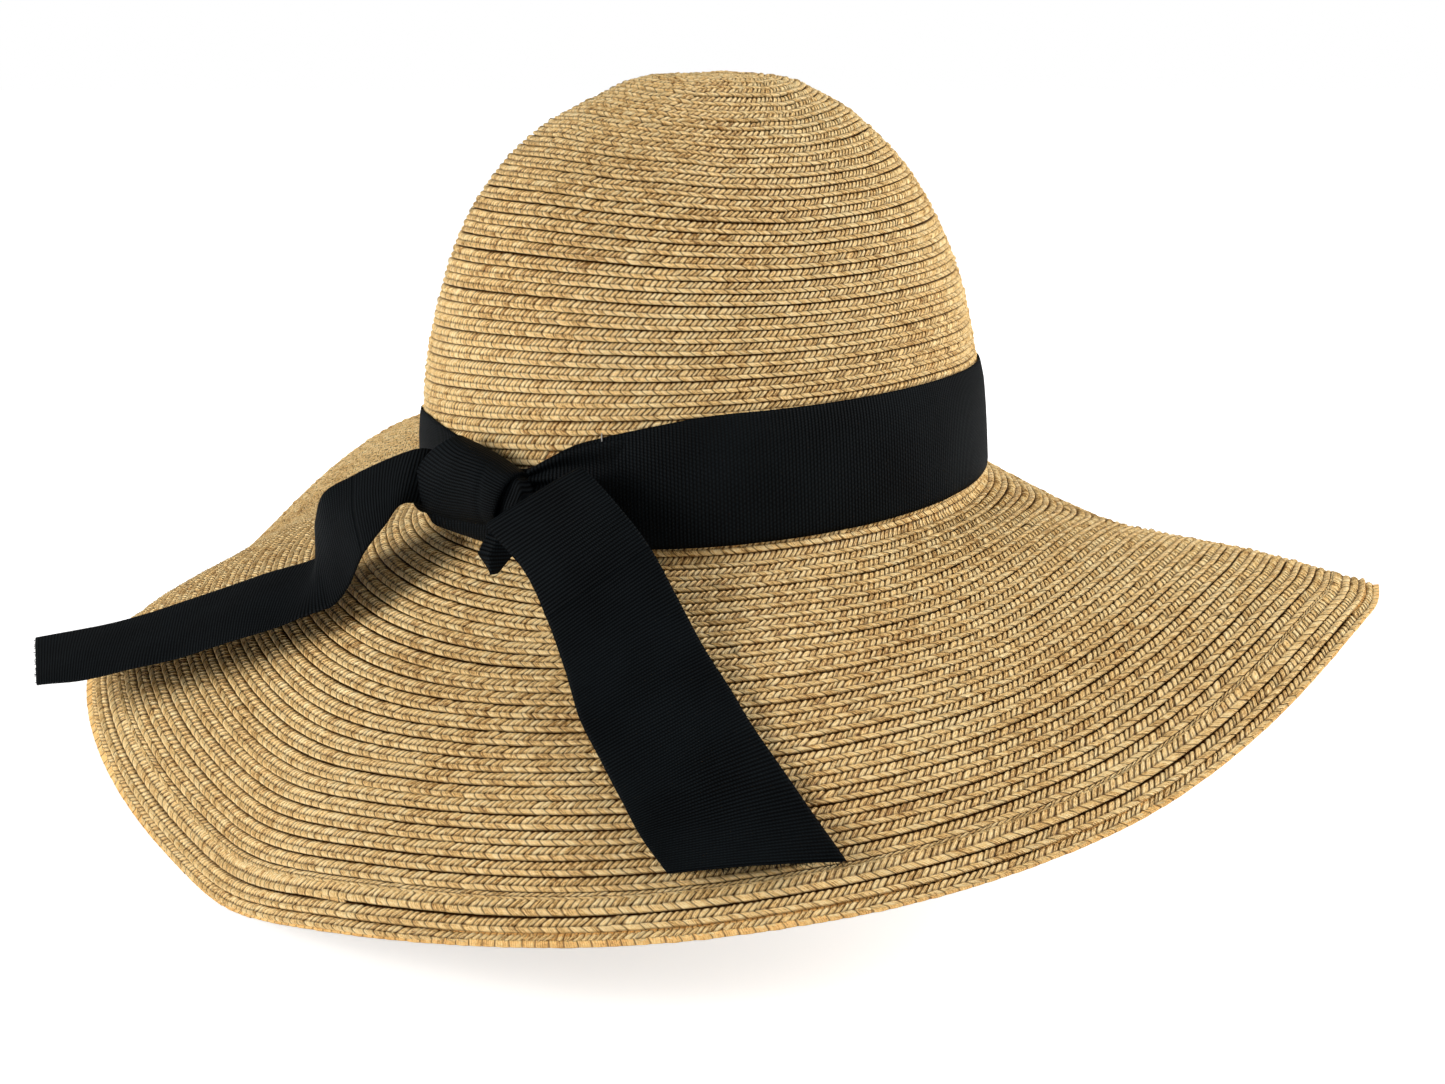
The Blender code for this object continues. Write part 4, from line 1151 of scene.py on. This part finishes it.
def fray(name, grid, seed, count, reach):
    """Loose yarn ends along a cut end of ribbon, as short thin tubes."""
    draws = np.random.default_rng(seed)
    end, run = grid[-1], grid[-1] - grid[-3]
    run = run / np.linalg.norm(run, axis=1, keepdims=True)
    side = end[-1] - end[0]
    side = side / np.linalg.norm(side)
    share = np.linspace(0, 1, 5)[:, None]
    radius = FRAY_RADIUS * (1 - 0.55 * share[:, 0])
    yarns = []
    for _ in range(count):
        at = draws.uniform(0, len(end) - 1.001)
        i = int(at)
        root = end[i] * (1 - at + i) + end[i + 1] * (at - i) - run[i] * 0.0008
        up = np.cross(side, run[i])
        length = reach * draws.uniform(0.3, 1.0) + 0.0008
        bend = side * draws.normal(0, 0.35) + up * draws.normal(0, 0.25)
        path = root + run[i] * length * share + bend * length * share * share
        yarns.append(ring_sections(path, radius, side[None], up[None], 4))
    lay = stack_lay(np.arange(5)[:, None] * 0.0004, np.arange(4)[None] / 4, 8.0)
    return joined_tubes(name, yarns, [lay] * count, True, GROSGRAIN)


right_grid = ribbon_grid(RIGHT_TAIL, 190, 34, belly=0.0007, ruffle=0.00045, seed=8)
left_grid = ribbon_grid(LEFT_TAIL, 220, 34, belly=0.0008, ruffle=0.0004, seed=9)
right_start, right_tail = tail_pieces("tail_right", right_grid, (-31, -114.5, -8), seed=4.0)
left_start, left_tail = tail_pieces("tail_left", left_grid, (-108, -66, 2.5), seed=7.0)
right_fray = fray("tail_right_fray", right_grid, seed=21, count=90, reach=0.0022)
left_fray = fray("tail_left_fray", left_grid, seed=22, count=60, reach=0.0012)

# A stitch over the band's upper edge: run from the edge, angle (radians), height off the face.
TACK_STATIONS = (
    (-0.0014, -0.004, 0.0001), (-0.0006, -0.002, 0.0009), (0.0008, 0.001, 0.0016),
    (0.0018, 0.004, 0.0014), (0.0024, 0.006, 0.0008))


def build_tack(name, degrees):
    edge, angle = BAND_UPPER[band_index(degrees)], math.radians(degrees)
    points = [hat.at(edge + run, angle + turn, off) for run, turn, off in TACK_STATIONS]
    return round_tube(name + "_shown", smooth_path(points, 16), 0.00017, 8, False,
                      THREAD_WHITE)


tacks = [(name, build_tack(name, degrees)) for name, degrees in TACKS]

# ---------------------------------------------------------------- inside the head opening
WALL = -BRAID_THICKNESS - CLEAR         # the braid's inner face, off the outer one
INNER_STEPS = 360
INNER = ring_angles(INNER_STEPS)
# The sweatband's section: height above its lower edge, distance off the wall.
TAPE_SECTION = (
    (0.0, -0.0006), (0.004, -0.0005), (0.009, -0.0005), (0.014, -0.0007), (0.019, -0.0012),
    (0.0235, -0.0022), (0.0262, -0.0028), (SWEATBAND_TALL, -0.0027))
TAPE_COLUMNS = 24
STITCHES = 150
STITCH_RADIUS = 0.00026
STITCH_ARCH = np.array([0.0, 0.65, 0.95, 1.0, 0.95, 0.65, 0.0])


def inner_runs(height):
    """Runs at a height above the break, all round."""
    return crown_runs_at(height + break_height(INNER), INNER, from_share=0.5, steps=240)


def build_sweatband():
    section = np.arange(len(TAPE_SECTION))
    section_runs = np.stack([inner_runs(SWEATBAND_LOW + rise) for rise, _ in TAPE_SECTION], 1)
    place = np.linspace(0, section[-1], TAPE_COLUMNS)
    runs = np.stack([np.interp(place, section, row) for row in section_runs])
    off = np.interp(place, section, [off for _, off in TAPE_SECTION])
    ease = smooth_noise_grid((INNER_STEPS, TAPE_COLUMNS), (26, 3), 31) * 0.00016
    fade = np.linspace(0, 1, 20)[:, None]       # the end runs on into the start
    ease[-20:] = ease[-20:] * (1 - fade) + ease[0][None] * fade
    grid = hat.at(runs, INNER[:, None], WALL + off[None] - 0.0002 - np.abs(ease))
    return cloth("sweatband_tape_shown", grid, 0.0008, TAPE, seed=1.0,
                 closed=True)


def build_drawcord():
    path = hat.at(inner_runs(SWEATBAND_TOP - 0.0026), INNER, WALL - 0.0010)
    return round_tube("drawcord_shown", path, CORD_RADIUS, 10, True, COTTON)


def build_seam():
    """Single stitches that hold the tape to the braid."""
    sides = 6
    seam_runs = inner_runs(SWEATBAND_LOW + 0.0030)
    seam_runs = np.append(seam_runs, seam_runs[0])
    seam_angles = np.append(INNER, 2 * math.pi)
    stitches, lays = [], []
    for i in range(STITCHES):
        start, end = ((i + share) * 2 * math.pi / STITCHES for share in (0.14, 0.86))
        angles = np.linspace(start, end, len(STITCH_ARCH))
        runs = np.interp(angles, seam_angles, seam_runs) + 0.00015 * math.sin(i * 2.4)
        path = hat.at(runs, angles, WALL - 0.00105 - 0.00065 * STITCH_ARCH)
        run = np.gradient(path, axis=0)
        run /= np.linalg.norm(run, axis=1, keepdims=True)
        side = np.cross(run, (0, 0, 1.0))
        side /= np.linalg.norm(side, axis=1, keepdims=True)
        stitches.append(ring_sections(path, STITCH_RADIUS, np.cross(side, run), side, sides))
        # 6.283 is a full turn, rounded
        lays.append(stack_lay(np.arange(len(path))[:, None] * 0.0006,
                              ring_angles(sides)[None] / 6.283, float(i)))
    return joined_tubes("sweatband_seam_stitches", stitches, lays, False, THREAD_TAN)


CORD_SPOT = CrownSpot(CORD_ANGLE, SWEATBAND_TOP + float(break_height(math.radians(CORD_ANGLE))))
CORD_KNOT_SIZE, CORD_KNOT_TALL = 0.00078, 0.00072
# A hanging cord end: distance to the side, inwards from the braid, up from the sweatband's top.
CORD_END_STATIONS = np.array([
    (0.0020, 0.0046, 0.0040), (0.0042, 0.0058, 0.0040), (0.0064, 0.0064, 0.0022),
    (0.0082, 0.0066, -0.004), (0.0088, 0.0066, -0.012), (0.0082, 0.0066, -CORD_END)])
CORD_TIP_RADII = [0.00088, 0.00098, 0.00112, 0.00118, 0.00100]


def build_cord_knot():
    """A trefoil knot of cord."""
    turn = ring_angles(90)
    path = CORD_SPOT.inside(
        CORD_KNOT_SIZE * (np.sin(turn) + 2 * np.sin(2 * turn)),
        0.0036 - CORD_KNOT_SIZE * np.sin(3 * turn),
        0.0034 + CORD_KNOT_TALL * (np.cos(turn) - 2 * np.cos(2 * turn)))
    return round_tube("drawcord_knot_shown", path, CORD_KNOT_SIZE, 10, True, COTTON)


def build_cord_end(name, side):
    aside, inward, up = CORD_END_STATIONS.T
    path = smooth_path(CORD_SPOT.inside(side * aside, inward, up), 70)
    radius = np.full(70, CORD_RADIUS)
    radius[-5:] = CORD_TIP_RADII
    return round_tube(name, path, radius, 10, False, COTTON)


def build_size_tag():
    spot = CrownSpot(TAG_ANGLE, SWEATBAND_TOP + float(break_height(math.radians(TAG_ANGLE))))
    top = -0.0130
    along = np.linspace(-TAG_WIDE / 2, TAG_WIDE / 2, 30)[None]
    up = np.linspace(top + 0.0004, top - TAG_TALL, 20)[:, None]
    inward = 0.0050 + 0.0006 * ((top - up) / TAG_TALL) + 0.0003 * np.sin(along * 260)
    return cloth("size_tag_shown", spot.inside(along, inward, up), 0.0004, SATIN,
                 seed=2.0)


sweatband = build_sweatband()
drawcord = build_drawcord()
seam = build_seam()
cord_knot = build_cord_knot()
cord_end_left = build_cord_end("drawcord_end_left_shown", -1)
cord_end_right = build_cord_end("drawcord_end_right_shown", 1)
size_tag = build_size_tag()


# The crown's rows ride on the hat body; the other straw pieces and the rim wire stay in place, and
# the CAD pieces they stand for are hidden.
for name, piece in straw_pieces.items():
    if name.startswith("crown"):
        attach(piece, "hat")
    else:
        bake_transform(piece)
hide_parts("crown_braid")
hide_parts("brim_braid", "brim_turnup_braid")
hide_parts("edge_braid", "edge_turnup_braid")
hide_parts("edge_facing_braid", "edge_turnup_facing")
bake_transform(rim_wire)
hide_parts("rim_wire", "rim_wire_turnup")

# Riding pieces: piece, the body it rides on, the CAD piece it replaces.
RIDES = [
    (wire_sleeve, "hat", "wire_ferrule"),
    (hat_band, "hat", "hat_band"),
    (band_gather, "hat", "band_gather"),
    (knot_wrap, "hat", "knot_wrap"),
    (knot_core, "hat", "knot_core"),
    (fold_tip, "hat", "knot_fold_tip"),
    (sweatband, "hat", "sweatband"),
    (seam, "hat", "sweatband_seam_thread"),
    (drawcord, "hat", "drawcord"),
    (cord_knot, "hat", "drawcord_knot"),
    *((tack, "hat", name) for name, tack in tacks),
    (cord_end_left, "cord_end_left", "drawcord_end_left"),
    (cord_end_right, "cord_end_right", "drawcord_end_right"),
    (size_tag, "size_tag_flap", "size_tag"),
]
for piece, body, replaced in RIDES:
    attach(piece, body)
    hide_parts(replaced)

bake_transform(left_tail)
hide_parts("tail_left_root", "tail_left_end")
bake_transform(right_tail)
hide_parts("tail_right_root", "tail_right_end")
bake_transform(left_start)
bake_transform(right_start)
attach(right_fray, "right_tail_end")
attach(left_fray, "left_tail_end")

# ---------------------------------------------------------------- floor, light and camera
WORLD_LIGHT = 0.24
FLOOR_GLOW = ((0.30, 0.64), (0.85, 1.0))    # distance from the origin, glow seen by the camera
SOFTBOXES = (
    dict(name="softbox_left", place=(-1.40, -0.65, 0.50), aim=(0, 0, 0.08), size=(0.8, 0.7),
         watts=24.5, colour=(1.0, 0.985, 0.96)),
    dict(name="softbox_right", place=(1.35, -0.25, 0.85), aim=(0.05, 0, 0.05), size=(0.8, 0.7),
         watts=26.5, colour=(1.0, 0.99, 0.97)),
    dict(name="softbox_front", place=(-0.2, -1.6, 1.1), aim=(0, 0, 0.05), size=(0.8, 0.6),
         watts=1.5, colour=(1.0, 1.0, 1.0)),
)
CAMERA_OFFSET = (0.0, -0.7297, 0.1416)      # from the head opening's centre
CAMERA_DOWN, CAMERA_RIGHT = 12.589, 0.4553  # degrees it looks down and to the right


def build_floor():
    bpy.ops.mesh.primitive_plane_add(size=30, location=(0, 0, -0.0006))
    floor = bpy.context.active_object
    floor.name = "studio_floor"
    material, nodes = new_material("studio_floor_paint")
    seen = nodes.camera_ray()
    position = nodes.put("ShaderNodeNewGeometry", output="Position")
    distance = nodes.put("ShaderNodeVectorMath", {0: position}, "Value", operation="LENGTH")
    nodes.principled({
        "Base Color": (0.90, 0.90, 0.90),
        "Roughness": 0.9,
        "Specular IOR Level": 0.1,
        "Emission Color": (1, 1, 1),
        "Emission Strength": seen * nodes.ramp(distance, *FLOOR_GLOW),
    })
    floor.data.materials.append(material)


def build_world():
    """White to the camera, and dimmer as a light."""
    world = bpy.data.worlds.new("studio_world")
    bpy.context.scene.world = world
    world.use_nodes = True
    nodes = Nodes(world.node_tree)
    background = world.node_tree.nodes["Background"]
    nodes.feed(background.inputs["Color"], (1.0, 1.0, 1.0))
    seen = nodes.camera_ray()
    strength = nodes.math("ADD", WORLD_LIGHT, seen * (1.0 - WORLD_LIGHT))
    nodes.feed(background.inputs["Strength"], strength)


def build_softbox(name, place, aim, size, watts, colour):
    light = bpy.data.lights.new(name, "AREA")
    light.shape = "RECTANGLE"
    light.size, light.size_y = size
    light.energy = watts
    light.color = colour
    softbox = bpy.data.objects.new(name, light)
    bpy.context.scene.collection.objects.link(softbox)
    softbox.location = place
    direction = Vector(aim) - Vector(place)
    softbox.rotation_euler = direction.to_track_quat("-Z", "Y").to_euler()


def build_camera():
    lens = bpy.data.cameras.new("camera")
    lens.sensor_width = 36.0
    lens.lens = 54.39
    lens.clip_start = 0.01
    camera = bpy.data.objects.new("camera", lens)
    bpy.context.scene.collection.objects.link(camera)
    camera.location = [offset + stand for offset, stand in zip(CAMERA_OFFSET, STAND)]
    camera.rotation_euler = (math.radians(90 - CAMERA_DOWN), 0.0, -math.radians(CAMERA_RIGHT))
    bpy.context.scene.camera = camera


build_floor()
build_world()
for settings in SOFTBOXES:
    build_softbox(**settings)
build_camera()
bpy.context.scene.view_settings.view_transform = "Standard"
bpy.context.scene.view_settings.look = "None"
